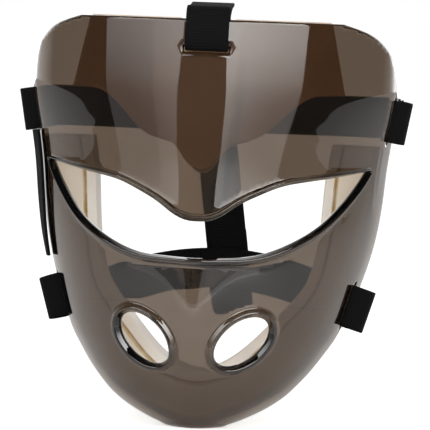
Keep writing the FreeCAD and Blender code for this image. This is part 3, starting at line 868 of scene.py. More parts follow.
def tube(rows: int, count: int, first: int = 0, closed: bool = False) -> list[tuple[int, ...]]:
    """Skins closed rows of points into a tube.

    Args:
        rows: How many rows there are.
        count: How many points a row has.
        first: The number of the first point.
        closed: Whether the last row joins the first. Otherwise both ends are capped.

    Returns:
        The faces.
    """
    faces = []
    for i in range(rows if closed else rows - 1):
        near, far = first + i * count, first + (i + 1) % rows * count
        for k in range(count):
            beside = (k + 1) % count
            faces.append((near + k, near + beside, far + beside, far + k))
    if not closed:
        faces.append(tuple(first + k for k in reversed(range(count))))
        faces.append(tuple(first + (rows - 1) * count + k for k in range(count)))
    return faces


def settle(piece: bpy.types.Object, body: str, slot: str, nodes: Sequence[str]) -> None:
    """Puts a piece on its body in place of its solids.

    Args:
        piece: The piece.
        body: The body that it rides on.
        slot: Not used.
        nodes: The solids that it stands for.
    """
    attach(piece, body)
    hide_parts(*nodes)
    log.info("%s rides on %s", piece.name, body)


def region_points(loops: Sequence[Sequence[Flat]], step: float) -> list[Flat]:
    """Spreads points in the region inside the first loop and outside the others.

    Args:
        loops: Closed outlines.
        step: The distance between the points.

    Returns:
        The points, none of them close to a loop.
    """
    edges = [(loop[k - 1], loop[k]) for loop in loops for k in range(len(loop))]
    near = []
    for (ax, az), (bx, bz) in edges:
        parts = max(1, math.ceil(math.hypot(bx - ax, bz - az) / (step / 3)))
        near += [(ax + (bx - ax) * k / parts, az + (bz - az) * k / parts) for k in range(parts)]
    tree = kdtree.KDTree(len(near))
    for index, (x, z) in enumerate(near):
        tree.insert((x, z, 0.0), index)
    tree.balance()
    low = min(z for loop in loops for _, z in loop)
    high = max(z for loop in loops for _, z in loop)
    rise = step * math.sqrt(3) / 2
    spread = []
    for row in range(1, int((high - low) / rise) + 1):
        z = low + row * rise
        cuts = sorted(
            ax + (bx - ax) * (z - az) / (bz - az) for (ax, az), (bx, bz) in edges if (az <= z) != (bz <= z))
        for start, end in zip(cuts[::2], cuts[1::2]):
            first = math.ceil(start / step - 0.5 * (row % 2))
            last = math.floor(end / step - 0.5 * (row % 2))
            for k in range(first, last + 1):
                x = (k + 0.5 * (row % 2)) * step
                if tree.find((x, z, 0.0))[2] > step * 0.55:
                    spread.append((x, z))
    return spread


def inside(loop: Sequence[Flat], x: float, z: float) -> bool:
    """Whether a point lies inside a closed outline."""
    odd = False
    for k, (bx, bz) in enumerate(loop):
        ax, az = loop[k - 1]
        if (az <= z) != (bz <= z) and x < ax + (bx - ax) * (z - az) / (bz - az):
            odd = not odd
    return odd


def fill_region(loops: Sequence[Sequence[Flat]],
                step: float) -> tuple[list[Flat], list[tuple[int, int, int]]]:
    """Fills the region inside the first loop and outside the others with triangles.

    Args:
        loops: Closed outlines. Their points come first, in order, among the points returned.
        step: The distance between the points.

    Returns:
        The points and the triangles.
    """
    points: list[Flat] = []
    edges, owner = [], []
    for number, loop in enumerate(loops):
        first = len(points)
        points += loop
        edges += [(first + k, first + (k + 1) % len(loop)) for k in range(len(loop))]
        owner += [number] * len(loop)
    spread = region_points(loops, step)
    points += spread
    owner += [-1] * len(spread)
    done = geometry.delaunay_2d_cdt([Vector(p) for p in points], edges, [], 0, 1e-9)
    origin = [given[0] if given else -1 for given in done[3]]
    triangles = []
    for face in done[2]:
        tri = tuple(origin[k] for k in face)
        if -1 in tri:
            continue
        owners = {owner[k] for k in tri}
        if len(owners) == 1 and -1 not in owners:
            number = owners.pop()
            x, z = (sum(points[k][i] for k in tri) / 3 for i in (0, 1))
            if inside(loops[number], x, z) != (number == 0):
                continue
        triangles.append(tri)
    return points, triangles


@dataclass
class Opening:
    """A cut in a formed sheet, drawn as places across and heights, with the rings of its lip around it.

    Each point also has how dark its tint is painted: 0 as on the open wall, 1 as on an edge, partly the
    deeper tint of thick plastic and partly painted shade.
    """

    edge: list[Flat]
    tint_and_shade: list[float]
    lip: list[list[Vector]] = field(default_factory=list)
    lip_tint_and_shade: list[list[float]] = field(default_factory=list)
    outermost: list[Flat] = field(default_factory=list)


@dataclass
class FormedSheet:
    """A solid sheet that follows the face form between two depths under its outer face."""

    form: ShellForm
    front: float
    back: float
    step: float = 2.3 * MM
    round_share: float = 0.5
    stretch: float = 150.0 * MM
    rings: int = 3

    def at(self, flat: Flat, depth: float) -> Vector:
        """A point of the sheet.

        Args:
            flat: The stretched place across, and the height.
            depth: How far below the outer face.

        Returns:
            The point.
        """
        across = flat[0] / self.stretch
        return self.form.point(across, flat[1]) - self.form.normal(across, flat[1]) * depth

    def flat(self, across: float, z: float) -> Flat:
        """A place in the sheet's own drawing."""
        return (across * self.stretch, z)

    def build(self, name: str, outline: list[Flat], openings: Sequence[Opening],
              material: bpy.types.Material, mark: str, rim: float) -> bpy.types.Object:
        """Builds the sheet as one closed mesh.

        Args:
            name: The piece's name.
            outline: Its edge.
            openings: The cuts through it.
            material: Its material.
            mark: The name under which each point keeps how near an edge it is; on the shell this is the
                darker edge tint, partly painted shade.
            rim: The mark of the outline's own edge.

        Returns:
            The object.
        """
        verts: list[Vector] = []
        faces: list[tuple[int, ...]] = []
        marks: list[float] = []
        edge_rows: list[list[list[int]]] = []
        for depth, fronted in ((self.front, True), (self.back, False)):
            loops = [outline] + [o.outermost if fronted and o.lip else o.edge for o in openings]
            points, triangles = fill_region(loops, self.step)
            first = len(verts)
            verts += [self.at(p, depth) for p in points]
            marks += [0.0] * len(points)
            faces += [tuple(first + k for k in (t if fronted else reversed(t))) for t in triangles]
            rows, start = [], first
            for loop in loops:
                rows.append(list(range(start, start + len(loop))))
                start += len(loop)
            edge_rows.append(rows)
        for number, opening in enumerate([None, *openings]):
            front_row, back_row = edge_rows[0][number], edge_rows[1][number]
            if opening is not None:
                for ring, tint_and_shade in zip(opening.lip, opening.lip_tint_and_shade):
                    row = list(range(len(verts), len(verts) + len(ring)))
                    verts += ring
                    marks += tint_and_shade
                    self.join(front_row, row, faces)
                    front_row = row
            self.wall(verts, faces, front_row, back_row)
            rounded = opening.tint_and_shade if opening is not None else [rim] * len(front_row)
            marks += rounded * self.rings
        piece = add_piece(name, verts, faces, material)
        mark_points(piece, mark, marks)
        return piece

    @staticmethod
    def join(a: list[int], b: list[int], faces: list) -> None:
        """Joins two closed rows of points with four-sided faces."""
        count = len(a)
        for k in range(count):
            after = (k + 1) % count
            faces.append((a[k], b[k], b[after], a[after]))

    def wall(self, verts: list, faces: list, front: list[int], back: list[int]) -> None:
        """Closes an edge with a rounded wall from the front row to the back row.

        Args:
            verts: The sheet's points, which the wall adds to.
            faces: The faces, which it adds to.
            front: The edge row at the front.
            back: The same row at the back.
        """
        count = len(front)
        rows = [front]
        for ring in range(1, self.rings + 1):
            share = ring / (self.rings + 1)
            row = []
            for k in range(count):
                a, b = verts[front[k]], verts[back[k]]
                ahead = verts[front[(k + 1) % count]] - verts[front[k - 1]]
                away = (b - a).cross(ahead)
                away = away.normalized() if away.length > 1e-12 else away
                bulge = (b - a).length * self.round_share * 0.5 * math.sin(math.pi * share)
                row.append(len(verts))
                verts.append(a.lerp(b, share) + away * bulge)
            rows.append(row)
        rows.append(back)
        for a, b in zip(rows, rows[1:]):
            self.join(a, b, faces)


@dataclass
class Shell:
    """The one-piece moulded shell with its eye opening, breath holes, lips and strap slots."""

    form: ShellForm
    web: Webbing
    finishes: Finishes
    eye_half_width: float = 93.5 * MM
    hole_apart: float = 27.8 * MM
    hole_long: float = 18.6 * MM
    hole_short: float = 11.3 * MM
    hole_tilt_deg: float = 42.0
    lip_width: float = 4.0 * MM
    lip_height: float = 3.0 * MM
    lip_upper_share: float = 0.65
    lip_corner_share: float = 0.35
    lip_low_share: float = 0.45
    # Painted shade on the lips: the upper side is painted lighter by a share, and the dark fades out across
    # the lip's width.
    upper_lip_painted_light_share: float = 0.5
    lip_fade_start_share: float = 0.45
    lip_fade_share: float = 0.6
    edge_step: float = 1.6 * MM
    hole_points: int = 72
    slot_round_share: float = 0.7
    slot_step: float = 1.5 * MM
    # The slot walls get a share of the darker edge tint, partly painted shade.
    slot_tint_and_shade: float = 0.25
    rim_points: int = 130
    level_step: float = 2.0 * MM

    def eye_strokes(self) -> list[list[Vector]]:
        """The eye opening's upper and lower edge from the front, clockwise from the left corner.

        Returns:
            The two strokes.
        """
        strokes = []
        for rows, high in ((EYE_UPPER_SHARES, self.form.eye_top), (EYE_LOWER_SHARES, self.form.eye_bottom)):
            right = [Vector((a * self.eye_half_width, 0, b * high)) for a, b in rows]
            strokes.append(mirrored(right[1:]) + right)
        upper, lower = strokes
        lower[0], lower[-1] = upper[0], upper[-1]
        return [smooth_line(upper, self.edge_step), smooth_line(list(reversed(lower)), self.edge_step)]

    def hole_stroke(self, side: Side) -> list[Vector]:
        """A slanted breath hole's edge from the front, clockwise, with its low end nearer the middle.

        Args:
            side: The wearer's side.

        Returns:
            The stroke.
        """
        tilt = math.radians(side.sign * self.hole_tilt_deg)
        points = []
        for k in range(self.hole_points):
            turn = -2 * math.pi * k / self.hole_points
            long, short = self.hole_long * math.cos(turn), self.hole_short * math.sin(turn)
            x = side.sign * self.hole_apart + long * math.cos(tilt) - short * math.sin(tilt)
            z = -self.form.hole_drop + long * math.sin(tilt) + short * math.cos(tilt)
            points.append(Vector((x, 0, z)))
        return points

    def lipped(self, sheet: FormedSheet, strokes: list[list[Vector]]) -> Opening:
        """Works out an opening and its lip.

        Args:
            sheet: The shell's sheet.
            strokes: The opening's edge from the front, clockwise, in one stroke or two.

        Returns:
            The opening.
        """
        closed = len(strokes) == 1
        places, ways, widths, tint_and_shade_by_side = [], [], [], []
        for stroke, share in zip(strokes, (1.0,) if closed else (self.lip_upper_share, 1.0)):
            last = len(stroke) - 1
            for k, place in enumerate(stroke):
                before = stroke[k - 1] if k or closed else place
                after = stroke[(k + 1) % len(stroke)] if k < last or closed else place
                run = after - before
                places.append(place)
                ways.append(Vector((-run.z, 0, run.x)).normalized())
                corner = min(abs(place.x) / self.eye_half_width, 1.0) ** 6
                widths.append(self.lip_width * share * (1.0 - (1.0 - self.lip_corner_share) * corner))
                # Painted shade: the lower side of each lip is painted darker than its upper side.
                tint_and_shade_by_side.append(1.0 - self.upper_lip_painted_light_share * ease(0.5 + 0.7 * ways[-1].z))
        rings = []
        for width_share, height_share in LIP_SHARES:
            ring, flats = [], []
            for place, way, width in zip(places, ways, widths):
                spot = place + way * (width * width_share)
                across = self.form.across_at_side(spot.x, spot.z)
                full = self.lip_low_share + (1.0 - self.lip_low_share) * width / self.lip_width
                rise = self.lip_height * height_share * full
                flats.append(sheet.flat(across, spot.z))
                ring.append(sheet.at(flats[-1], -rise))
            # The painted dark fades across the lip's width, away from the edge.
            fade = 1.0 - ease((width_share - self.lip_fade_start_share) / self.lip_fade_share)
            rings.append((ring, flats, [d * fade for d in tint_and_shade_by_side]))
        outward = list(reversed(rings))
        return Opening(edge=rings[0][1], tint_and_shade=tint_and_shade_by_side, lip=[ring for ring, _, _ in outward[1:]],
                       lip_tint_and_shade=[tint_and_shade for _, _, tint_and_shade in outward[1:]], outermost=outward[0][1])

    def slot(self, sheet: FormedSheet, seat: Seat, crown: bool) -> Opening:
        """A strap slot with round corners.

        Args:
            sheet: The shell's sheet.
            seat: Where the strap sits.
            crown: Whether it is the slot at the top.

        Returns:
            The opening.
        """
        half_long, half_wide = self.web.slot_length / 2, self.web.slot_width / 2
        round_off = half_wide * self.slot_round_share
        ring = []
        for cx, cz, start in ((1, 1, 0), (-1, 1, 90), (-1, -1, 180), (1, -1, 270)):
            for k in range(5):
                turn = math.radians(start + 90 * k / 4)
                a = cx * (half_long - round_off) + round_off * math.cos(turn)
                b = cz * (half_wide - round_off) + round_off * math.sin(turn)
                ring.append((a, b))
        flats = []
        for k, (a, b) in enumerate(ring):
            before = ring[k - 1]
            parts = max(1, math.ceil(math.hypot(a - before[0], b - before[1]) / self.slot_step))
            for part in range(1, parts + 1):
                share = part / parts
                spot = seat.place(self.form.wall / 2, before[1] + (b - before[1]) * share,
                                  before[0] + (a - before[0]) * share)
                if crown:
                    across = self.form.across_at_side(spot.x, spot.z)
                else:
                    across = self.form.across_at_depth(-1 if seat.out.x < 0 else 1, spot.z, spot.y)
                flats.append(sheet.flat(across, spot.z))
        turn = sum(flats[k - 1][0] * z - x * flats[k - 1][1] for k, (x, z) in enumerate(flats))
        clockwise = flats if turn < 0 else list(reversed(flats))
        # The slot wall gets a share of the darker edge tint, partly painted shade.
        return Opening(edge=clockwise, tint_and_shade=[self.slot_tint_and_shade] * len(clockwise))

    def outline(self, sheet: FormedSheet) -> list[Flat]:
        """The shell's edge: up the right rim, along the top, down the left rim and along the chin.

        Args:
            sheet: The shell's sheet.

        Returns:
            Its places on the flat drawing.
        """
        steps = self.rim_points
        heights = [self.form.height * (1 - math.cos(math.pi * k / steps)) / 2 - self.form.chin_drop
                   for k in range(steps + 1)]
        right = [sheet.flat(self.form.across_at_depth(1, z, self.form.rim_depth(z)), z) for z in heights]
        left = [(-a, z) for a, z in right]
        top = self.level(right[-1], left[-1])
        bottom = self.level(left[0], right[0])
        return right + top + list(reversed(left)) + bottom

    def level(self, start: Flat, end: Flat) -> list[Flat]:
        """Evenly spaced places between two ends at one height."""
        count = max(2, math.ceil(abs(end[0] - start[0]) / self.level_step))
        return [(start[0] + (end[0] - start[0]) * k / count, start[1]) for k in range(1, count)]

    def build(self) -> bpy.types.Object:
        """Builds the shell.

        Returns:
            The shell, on the mask's body.
        """
        sheet = FormedSheet(self.form, 0.0, self.form.wall)
        openings = [self.lipped(sheet, self.eye_strokes())]
        openings += [self.lipped(sheet, [self.hole_stroke(side)]) for side in Side]
        openings.append(self.slot(sheet, self.web.crown_seat(self.form), True))
        for side in Side:
            openings.append(self.slot(sheet, self.web.temple_seat(self.form, side), False))
            openings.append(self.slot(sheet, self.web.jaw_seat(self.form, side), False))
        # The "edge" mark darkens the tint along the edges, partly painted shade.
        piece = sheet.build("moulded_shell", self.outline(sheet), openings, self.finishes.wall, "edge", 1.0)
        settle(piece, Body.MASK.value, "tinted_shell", ["shell"])
        return piece


@dataclass
class ForeheadFoam:
    """The thick foam behind the forehead, in two layers with a tongue between the eyes."""

    form: ShellForm
    web: Webbing
    finishes: Finishes
    half_width: float = 80.0 * MM
    pad_gap: float = 0.3 * MM
    thickness: dict = field(default_factory=lambda: {Layer.PAD: 9.0 * MM, Layer.LINER: 6.0 * MM})
    top_stand: float = 1.5 * MM
    side_low: float = 72.0 * MM
    tongue_low: float = 29.0 * MM
    tongue_width: float = 22.0 * MM
    step: float = 3.2 * MM
    edge_step: float = 2.0 * MM
    round_share: float = 0.25
    rim_glue: float = 0.2
    channel_margin: float = 2.0 * MM
    side_parts: int = 20
    top_parts: int = 70

    def outline(self, sheet: FormedSheet) -> list[Flat]:
        """The pad's edge from the front, in a layer's own drawing.

        Args:
            sheet: The layer's sheet.

        Returns:
            Its places on the flat drawing.
        """
        half = [Vector((a * self.half_width, 0, b * self.side_low)) for a, b in FOREHEAD_EDGE_SHARES]
        bend, low = self.tongue_width / 2, self.tongue_low
        half.append(Vector((bend, 0, (half[-1].z + low) / 2)))
        half.append(Vector((bend * math.sin(math.pi / 4), 0, low + bend * (1 - math.cos(math.pi / 4)))))
        half.append(Vector((0, 0, low)))
        edge = smooth_line(half + mirrored(half[:-1]), self.edge_step)
        top = self.form.crown_rise + self.top_stand
        corner = Vector((self.half_width - self.thickness[Layer.PAD], 0, top))
        other = Vector((-corner.x, 0, top))
        sides, over = self.side_parts, self.top_parts
        left = [edge[-1].lerp(other, k / sides) for k in range(1, sides + 1)]
        level = [other.lerp(corner, k / over) for k in range(1, over + 1)]
        right = [corner.lerp(edge[0], k / sides) for k in range(1, sides)]
        return [sheet.flat(self.form.across_at_side(p.x, p.z), p.z) for p in edge + left + level + right]

    def build(self) -> list[bpy.types.Object]:
        """Builds both layers.

        Returns:
            The outer pad and the inner liner, on the mask's body.
        """
        pieces = []
        front = self.form.wall + self.pad_gap
        for layer in Layer:
            back = front + self.thickness[layer]
            sheet = FormedSheet(self.form, front, back, self.step, self.round_share)
            # The outer pad takes the browner copy of the foam, which is painted shade.
            material = self.finishes.shaded_brow_foam if layer is Layer.PAD else self.finishes.foam[layer]
            name = f"brow_{layer.value}_foam"
            piece = sheet.build(name, self.outline(sheet), [], material, "glue", self.rim_glue)
            if layer is Layer.PAD:
                self.clear_strap(piece)
            settle(piece, Body.MASK.value, layer.slot, [f"forehead_{layer.value}"])
            pieces.append(piece)
            front = back
        return pieces

    def clear_strap(self, piece: bpy.types.Object) -> None:
        """Presses a channel into the outer pad for the webbing behind the wall.

        Args:
            piece: The pad.
        """
        seat = self.web.crown_seat(self.form)
        depth = self.form.wall / 2 + 3 * self.web.gap + self.web.thick + seat.bow
        half = self.web.slot_length / 2 + self.channel_margin
        for vertex in piece.data.vertices:
            away = vertex.co - seat.middle
            beside, up, out = abs(away.dot(seat.along)), away.dot(seat.rimward), away.dot(seat.out)
            if beside < half and up > -self.web.slot_width and out > -depth:
                side = ease((half - beside) / self.channel_margin)
                below = ease((up + self.web.slot_width) / (self.web.slot_width / 2))
                vertex.co -= seat.out * ((out + depth) * side * below)


@dataclass
class RimFoam:
    """The laminated foam band behind the rear rim: two layers on each cheek and round the chin."""

    form: ShellForm
    web: Webbing
    finishes: Finishes
    pad_gap: float = 0.8 * MM
    depth: float = 25.0 * MM
    liner: float = 6.5 * MM
    half_width: float = 68.0 * MM
    top: float = 43.0 * MM
    split_drop: float = 52.0 * MM
    low: float = 88.0 * MM
    soft: float = 1.0 * MM
    line_step: float = 0.5 * MM
    station_step: int = 5
    thinnest_share: float = 2.2
    end_draw_share: float = 0.4
    end_step_share: float = 0.15
    wall_rows: int = 90
    wall_columns: int = 120
    wall_low_share: float = -0.035
    wall_high_share: float = 0.715
    wall_side_share: float = 0.995
    tree: BVHTree | None = None
    seat: Seat | None = None

    def inner_wall(self) -> BVHTree:
        """The form's face just inside the wall, run on past the rim, for finding where foam meets it.

        Returns:
            A tree to cast rays at.
        """
        rows, columns = self.wall_rows, self.wall_columns
        low, tall = self.wall_low_share, self.wall_high_share - self.wall_low_share
        verts, faces = [], []
        for i in range(rows + 1):
            z = (low + tall * i / rows) * self.form.height - self.form.chin_drop
            for j in range(columns + 1):
                across = self.wall_side_share * (2 * j / columns - 1)
                inward = self.form.normal(across, z) * (self.form.wall + self.pad_gap)
                verts.append(self.form.point(across, z) - inward)
        for i in range(rows):
            for j in range(columns):
                a = i * (columns + 1) + j
                faces.append((a, a + 1, a + columns + 2, a + columns + 1))
        return BVHTree.FromPolygons(verts, faces)

    def band(self) -> list[Vector]:
        """The band's inner face from the front, from the right top end to the middle of the chin."""
        half = [Vector((a * self.half_width, 0, b * self.low)) for a, b in BAND_SHARES]
        line = even_steps(smooth_line(half + mirrored(half[:-1]), 2 * self.line_step), self.line_step)
        return line[: len(line) // 2 + 1]

    def thinned(self, row: list) -> list:
        """Every few entries of a row, and its last one."""
        return row[:: self.station_step] + ([row[-1]] if (len(row) - 1) % self.station_step else [])

    def stations(self) -> tuple[list[Station], list[Station]]:
        """The right half's stations: place, way towards the shell, and the inner face's normal.

        Returns:
            The cheek's stations from the top down, and the chin's from the split to the middle.
        """
        line = self.band()
        cheek, chin = [], []
        for k, place in enumerate(line):
            run = line[min(k + 1, len(line) - 1)] - line[max(k - 1, 0)]
            normal = Vector((-run.z, 0, run.x)).normalized()
            if place.z <= self.top and place.z >= -self.split_drop:
                cheek.append((place, Vector((1, 0, 0)), normal))
            if place.z <= -self.split_drop:
                chin.append((place, normal))
        chin = self.thinned(chin)
        turned = []
        for k, (place, normal) in enumerate(chin):
            turn = math.pi / 2 * k / (len(chin) - 1)
            turned.append((place, Vector((math.cos(turn), 0, -math.sin(turn))), normal))
        return self.thinned(cheek), turned

    def spot(self, place: Vector, way: Vector, along: float, ahead: float) -> Vector:
        """A point of a section, from how far it lies along its way and how far ahead of the rear rim."""
        z = max(place.z + way.z * along, -self.form.chin_drop)
        return Vector((place.x + way.x * along, self.form.rim_depth(z) - ahead, z))

    def reach(self, place: Vector, way: Vector, ahead: float) -> float:
        """How far foam runs from the band's inner face before it meets the wall, the flat chin or webbing.

        Args:
            place: The inner face's place from the front.
            way: The way towards the shell.
            ahead: How far ahead of the rear rim.

        Returns:
            The distance along the way.
        """
        origin = self.spot(place, way, 0.0, ahead)
        ray = (self.spot(place, way, self.soft, ahead) - origin) / self.soft
        hit, _, _, distance = self.tree.ray_cast(origin, ray.normalized())
        missed = self.form.depth if way.z < -0.5 else 0.0
        far = distance / ray.length if hit is not None else missed
        if way.z < 0:
            far = min(far, (place.z + self.form.chin_drop - self.pad_gap) / -way.z)
        seat = self.seat
        end = self.spot(place, way, far, ahead) - seat.middle
        beside, back, out = abs(end.dot(seat.along)), end.dot(seat.rimward), end.dot(seat.out)
        clear = -(self.form.wall / 2 + 3 * self.web.gap + self.web.thick + seat.bow
                  + 2 * abs(seat.sag) * seat.margin * seat.margin)
        if beside < self.web.slot_length / 2 and back > -self.web.slot_width / 2 and out > clear:
            far -= (out - clear) / max(way.dot(seat.out), 0.2)
        return max(far, 0.0)

    def ring(self, station: Station, layer: Layer) -> Ring:
        """One section of a layer, as a closed row of points with their nearness to the glue.

        Args:
            station: The place, the way towards the shell and the inner face's normal.
            layer: The layer.

        Returns:
            The points and their marks.
        """
        place, way, normal = station
        pad = layer is Layer.PAD
        glue = self.liner / max(way.dot(normal), 0.3)
        near = glue if pad else 0.0
        soft, columns = self.soft, 6
        spread = [0.0, soft * 0.3, soft]
        spread += [soft + (self.depth - 2 * soft) * k / columns for k in range(1, columns)]
        spread += [self.depth - soft, self.depth - soft * 0.3, self.depth]
        tuck = [soft, soft * 0.3, 0.0] + [0.0] * (columns - 1) + [0.0, soft * 0.3, soft]
        inner = [near + t for t in tuck]
        outer = []
        for ahead, t in zip(spread, tuck):
            far = self.reach(place, way, ahead) if pad else glue
            outer.append(max(far - t, near + self.thinnest_share * soft))

        def row(alongs: Iterable[float], aheads: Iterable[float], mark: float) -> Ring:
            """Marked points of the section."""
            return [(self.spot(place, way, along, ahead), mark) for along, ahead in zip(alongs, aheads)]

        front = [inner[-1] + (outer[-1] - inner[-1]) * share for share in FACE_SHARES]
        rear = [outer[0] + (inner[0] - outer[0]) * share for share in FACE_SHARES]
        points = row(inner, spread, 1.0 if pad else 0.0)
        points += row(front, [self.depth] * len(front), 0.0)
        points += row(reversed(outer), reversed(spread), 0.0 if pad else 1.0)
        return points + row(rear, [0.0] * len(rear), 0.0)

    def loft(self, name: str, rings: list[Ring], layer: Layer) -> bpy.types.Object:
        """Skins a layer's sections into one closed mesh with drawn-in ends.

        Args:
            name: The piece's name, which is also its solid's.
            rings: The sections.
            layer: The layer.

        Returns:
            The object, on the mask's body.
        """
        rows = [self.shrunk(rings[0], rings[1]), *rings, self.shrunk(rings[-1], rings[-2])]
        verts = [p for row in rows for p, _ in row]
        faces = tube(len(rows), len(rows[0]))
        piece = add_piece(f"{name}_foam", verts, faces, self.finishes.foam[layer])
        mark_points(piece, "glue", [m for row in rows for _, m in row])
        settle(piece, Body.MASK.value, layer.slot, [name])
        return piece

    @staticmethod
    def swapped(ring: Ring) -> Ring:
        """A section on the other side of the middle plane."""
        return [(Vector((-p.x, p.y, p.z)), mark) for p, mark in ring]

    def shrunk(self, ring: Ring, beside: Ring) -> Ring:
        """An end section drawn in a little, so that the end's edge is soft.

        Args:
            ring: The end section.
            beside: The section next to it.

        Returns:
            The drawn-in section.
        """
        middle, inner = (sum((p for p, _ in row), Vector()) / len(row) for row in (ring, beside))
        step = (middle - inner).normalized() * (self.soft * self.end_step_share)
        shrink = []
        for point, mark in ring:
            pull = middle - point
            draw = min(self.soft * self.end_draw_share, pull.length / 2)
            shrink.append((point + pull.normalized() * draw + step, mark))
        return shrink

    def build(self) -> list[bpy.types.Object]:
        """Builds both layers of the cheeks and the chin.

        Returns:
            The pieces.
        """
        self.tree = self.inner_wall()
        self.seat = self.web.jaw_seat(self.form, Side.RIGHT)
        cheek, chin = self.stations()
        pieces = []
        for layer in Layer:
            right = [self.ring(s, layer) for s in cheek]
            pieces.append(self.loft(f"cheek_{layer.value}_right", right, layer))
            pieces.append(self.loft(f"cheek_{layer.value}_left", [self.swapped(r) for r in right], layer))
            half = [self.ring(s, layer) for s in chin]
            other = [self.swapped(ring) for ring in reversed(half[:-1])]
            pieces.append(self.loft(f"chin_{layer.value}", half + other, layer))
        return pieces


@dataclass
class Strap:
    """Woven strap with raised ribs across it, laid along a line."""

    web: Webbing
    rib_pitch: float = 1.6 * MM
    rib_height: float = 0.10 * MM
    steps_per_rib: int = 4
    edge_share: float = 0.955
    round_share: float = 0.992
    round_thick_share: float = 0.6
    rib_side_share: float = 0.8
    flat_parts: int = 8

    def profile(self) -> list[Flat]:
        """The strap's section as a closed row: across from -1 to 1 and through from -1 to 1."""
        flat = [self.edge_share * (2 * k / self.flat_parts - 1) for k in range(self.flat_parts + 1)]
        side, thick = self.round_share, self.round_thick_share
        half = [(a, 1.0) for a in flat] + [(side, thick), (1.0, 0.0), (side, -thick)]
        return half + [(-a, -b) for a, b in half]

    def build(self, name: str, line: list[Vector], across: Callable[[float], Vector],
              material: bpy.types.Material, closed: bool = False) -> bpy.types.Object:
        """Builds a strap.

        Args:
            name: The piece's name.
            line: Its middle line.
            across: The way along its width, at a share of its length.
            material: Its material.
            closed: Whether the line is a ring.

        Returns:
            The object.
        """
        whole = line + [line[0]] if closed else line
        spread = even_steps(whole, self.rib_pitch / self.steps_per_rib)
        if closed:
            spread = spread[:-1]
        profile = self.profile()
        count, last = len(profile), len(spread) - 1
        verts, flats = [], []
        length = 0.0
        for i, place in enumerate(spread):
            before = spread[i - 1] if i or closed else place
            after = spread[(i + 1) % len(spread)] if i < last or closed else place
            run = (after - before).normalized()
            way = across(i / max(last, 1))
            edge = (way - run * way.dot(run)).normalized()
            up = run.cross(edge)
            if i:
                length += (place - spread[i - 1]).length
            rib = 0.5 - 0.5 * math.cos(2 * math.pi * i / self.steps_per_rib)
            half = self.web.thick / 2 - self.rib_height * (1 - rib)
            wide = self.web.width / 2 - self.rib_height * self.rib_side_share * (1 - rib)
            for a, b in profile:
                verts.append(place + edge * (a * wide) + up * (b * half))
                flats.append((length, a * self.web.width / 2))
        piece = add_piece(name, verts, tube(len(spread), count, closed=closed), material)
        layer = piece.data.uv_layers.new(name="strap")
        for polygon in piece.data.polygons:
            rows = [v // count for v in polygon.vertices]
            seam = closed and max(rows) - min(rows) > 1
            for loop, v in zip(polygon.loop_indices, polygon.vertices):
                u, w = flats[v]
                if seam and v // count == 0:
                    u = length + self.rib_pitch / self.steps_per_rib
                layer.data[loop].uv = (u, w)
        return piece


@dataclass
class WebbingLoops:
    """The five webbing loops through the shell's slots, and the spare strap end on the left."""

    form: ShellForm
    web: Webbing
    finishes: Finishes
    strap: Strap
    crown_reach: float = 25.0 * MM
    temple_reach: float = 25.0 * MM
    jaw_reach: float = 27.0 * MM
    crown_bulge: float = 4.2 * MM
    temple_bulge: float = 8.5 * MM
    jaw_bulge: float = 11.0 * MM
    tail_length: float = 74.0 * MM
    tail_stand: float = 2.64 * MM
    tail_rows: int = 7
    tail_step: float = 1.0 * MM
    loop_step: float = 0.4 * MM

    def line(self, seat: Seat, reach: float, bulge: float) -> list[Vector]:
        """A loop's middle line: through the slot, round the rim outside, and back behind the wall."""
        inner = -self.form.wall / 2 - 2 * self.web.gap - self.web.thick / 2 - seat.bow
        flat = [(0.0, 0.0)] + [(bulge * out, reach * back) for out, back in LOOP_OUT_SHARES]
        for share in LOOP_BACK_SHARES:
            flat.append((inner + seat.sag * (min(share, LOOP_BACK_SHARES[1]) * reach) ** 2, share * reach))
        flat.append((inner * LOOP_ENTRY_SHARE, self.web.thick / 2))
        return smooth_line([seat.place(out, back) for out, back in flat], self.loop_step, closed=True)

    def loop(self, name: str, seat: Seat, reach: float, bulge: float) -> bpy.types.Object:
        """Builds one loop."""
        line = self.line(seat, reach, bulge)
        piece = self.strap.build(
            f"{name}_strap", line, lambda _: seat.along, self.finishes.webbing, closed=True)
        settle(piece, Body.MASK.value, "webbing", [name])
        return piece

    def side_tail(self) -> bpy.types.Object:
        """Builds the spare strap end that hangs down outside the left wall.

        Returns:
            The object.
        """
        top = self.web.temple_height - self.web.width / 2 - self.web.gap
        depth = self.web.temple_seat(self.form, Side.LEFT).middle.y
        half = self.web.width / 2
        rows = self.tail_rows
        line, ways = [], []
        for k in range(rows):
            z = top - self.tail_length * k / (rows - 1)
            depths = (depth - half, depth, depth + half)
            front, crown, rear = (self.form.point(self.form.across_at_depth(-1, z, y), z) for y in depths)
            x = min(crown.x, (front.x + rear.x) / 2) - self.tail_stand
            line.append(Vector((x, depth, z)))
            ways.append((rear - front).normalized())

        def across(share: float) -> Vector:
            """The way along the strap's width."""
            place = share * (rows - 1)
            index = min(int(place), rows - 2)
            return ways[index].lerp(ways[index + 1], place - index)

        piece = self.strap.build(
            "side_tail_left_strap", smooth_line(line, self.tail_step), across, self.finishes.webbing)
        settle(piece, Body.MASK.value, "webbing", ["side_tail_left"])
        return piece

    def build(self) -> list[bpy.types.Object]:
        """Builds the loops and the spare end.

        Returns:
            The pieces.
        """
        pieces = [self.loop("crown_loop", self.web.crown_seat(self.form), self.crown_reach, self.crown_bulge)]
        for side in Side:
            temple, jaw = self.web.temple_seat(self.form, side), self.web.jaw_seat(self.form, side)
            sizes = (("temple", temple, self.temple_reach, self.temple_bulge),
                     ("jaw", jaw, self.jaw_reach, self.jaw_bulge))
            for place, seat, reach, bulge in sizes:
                pieces.append(self.loop(f"{place}_loop_{side.value}", seat, reach, bulge))
        pieces.append(self.side_tail())
        return pieces


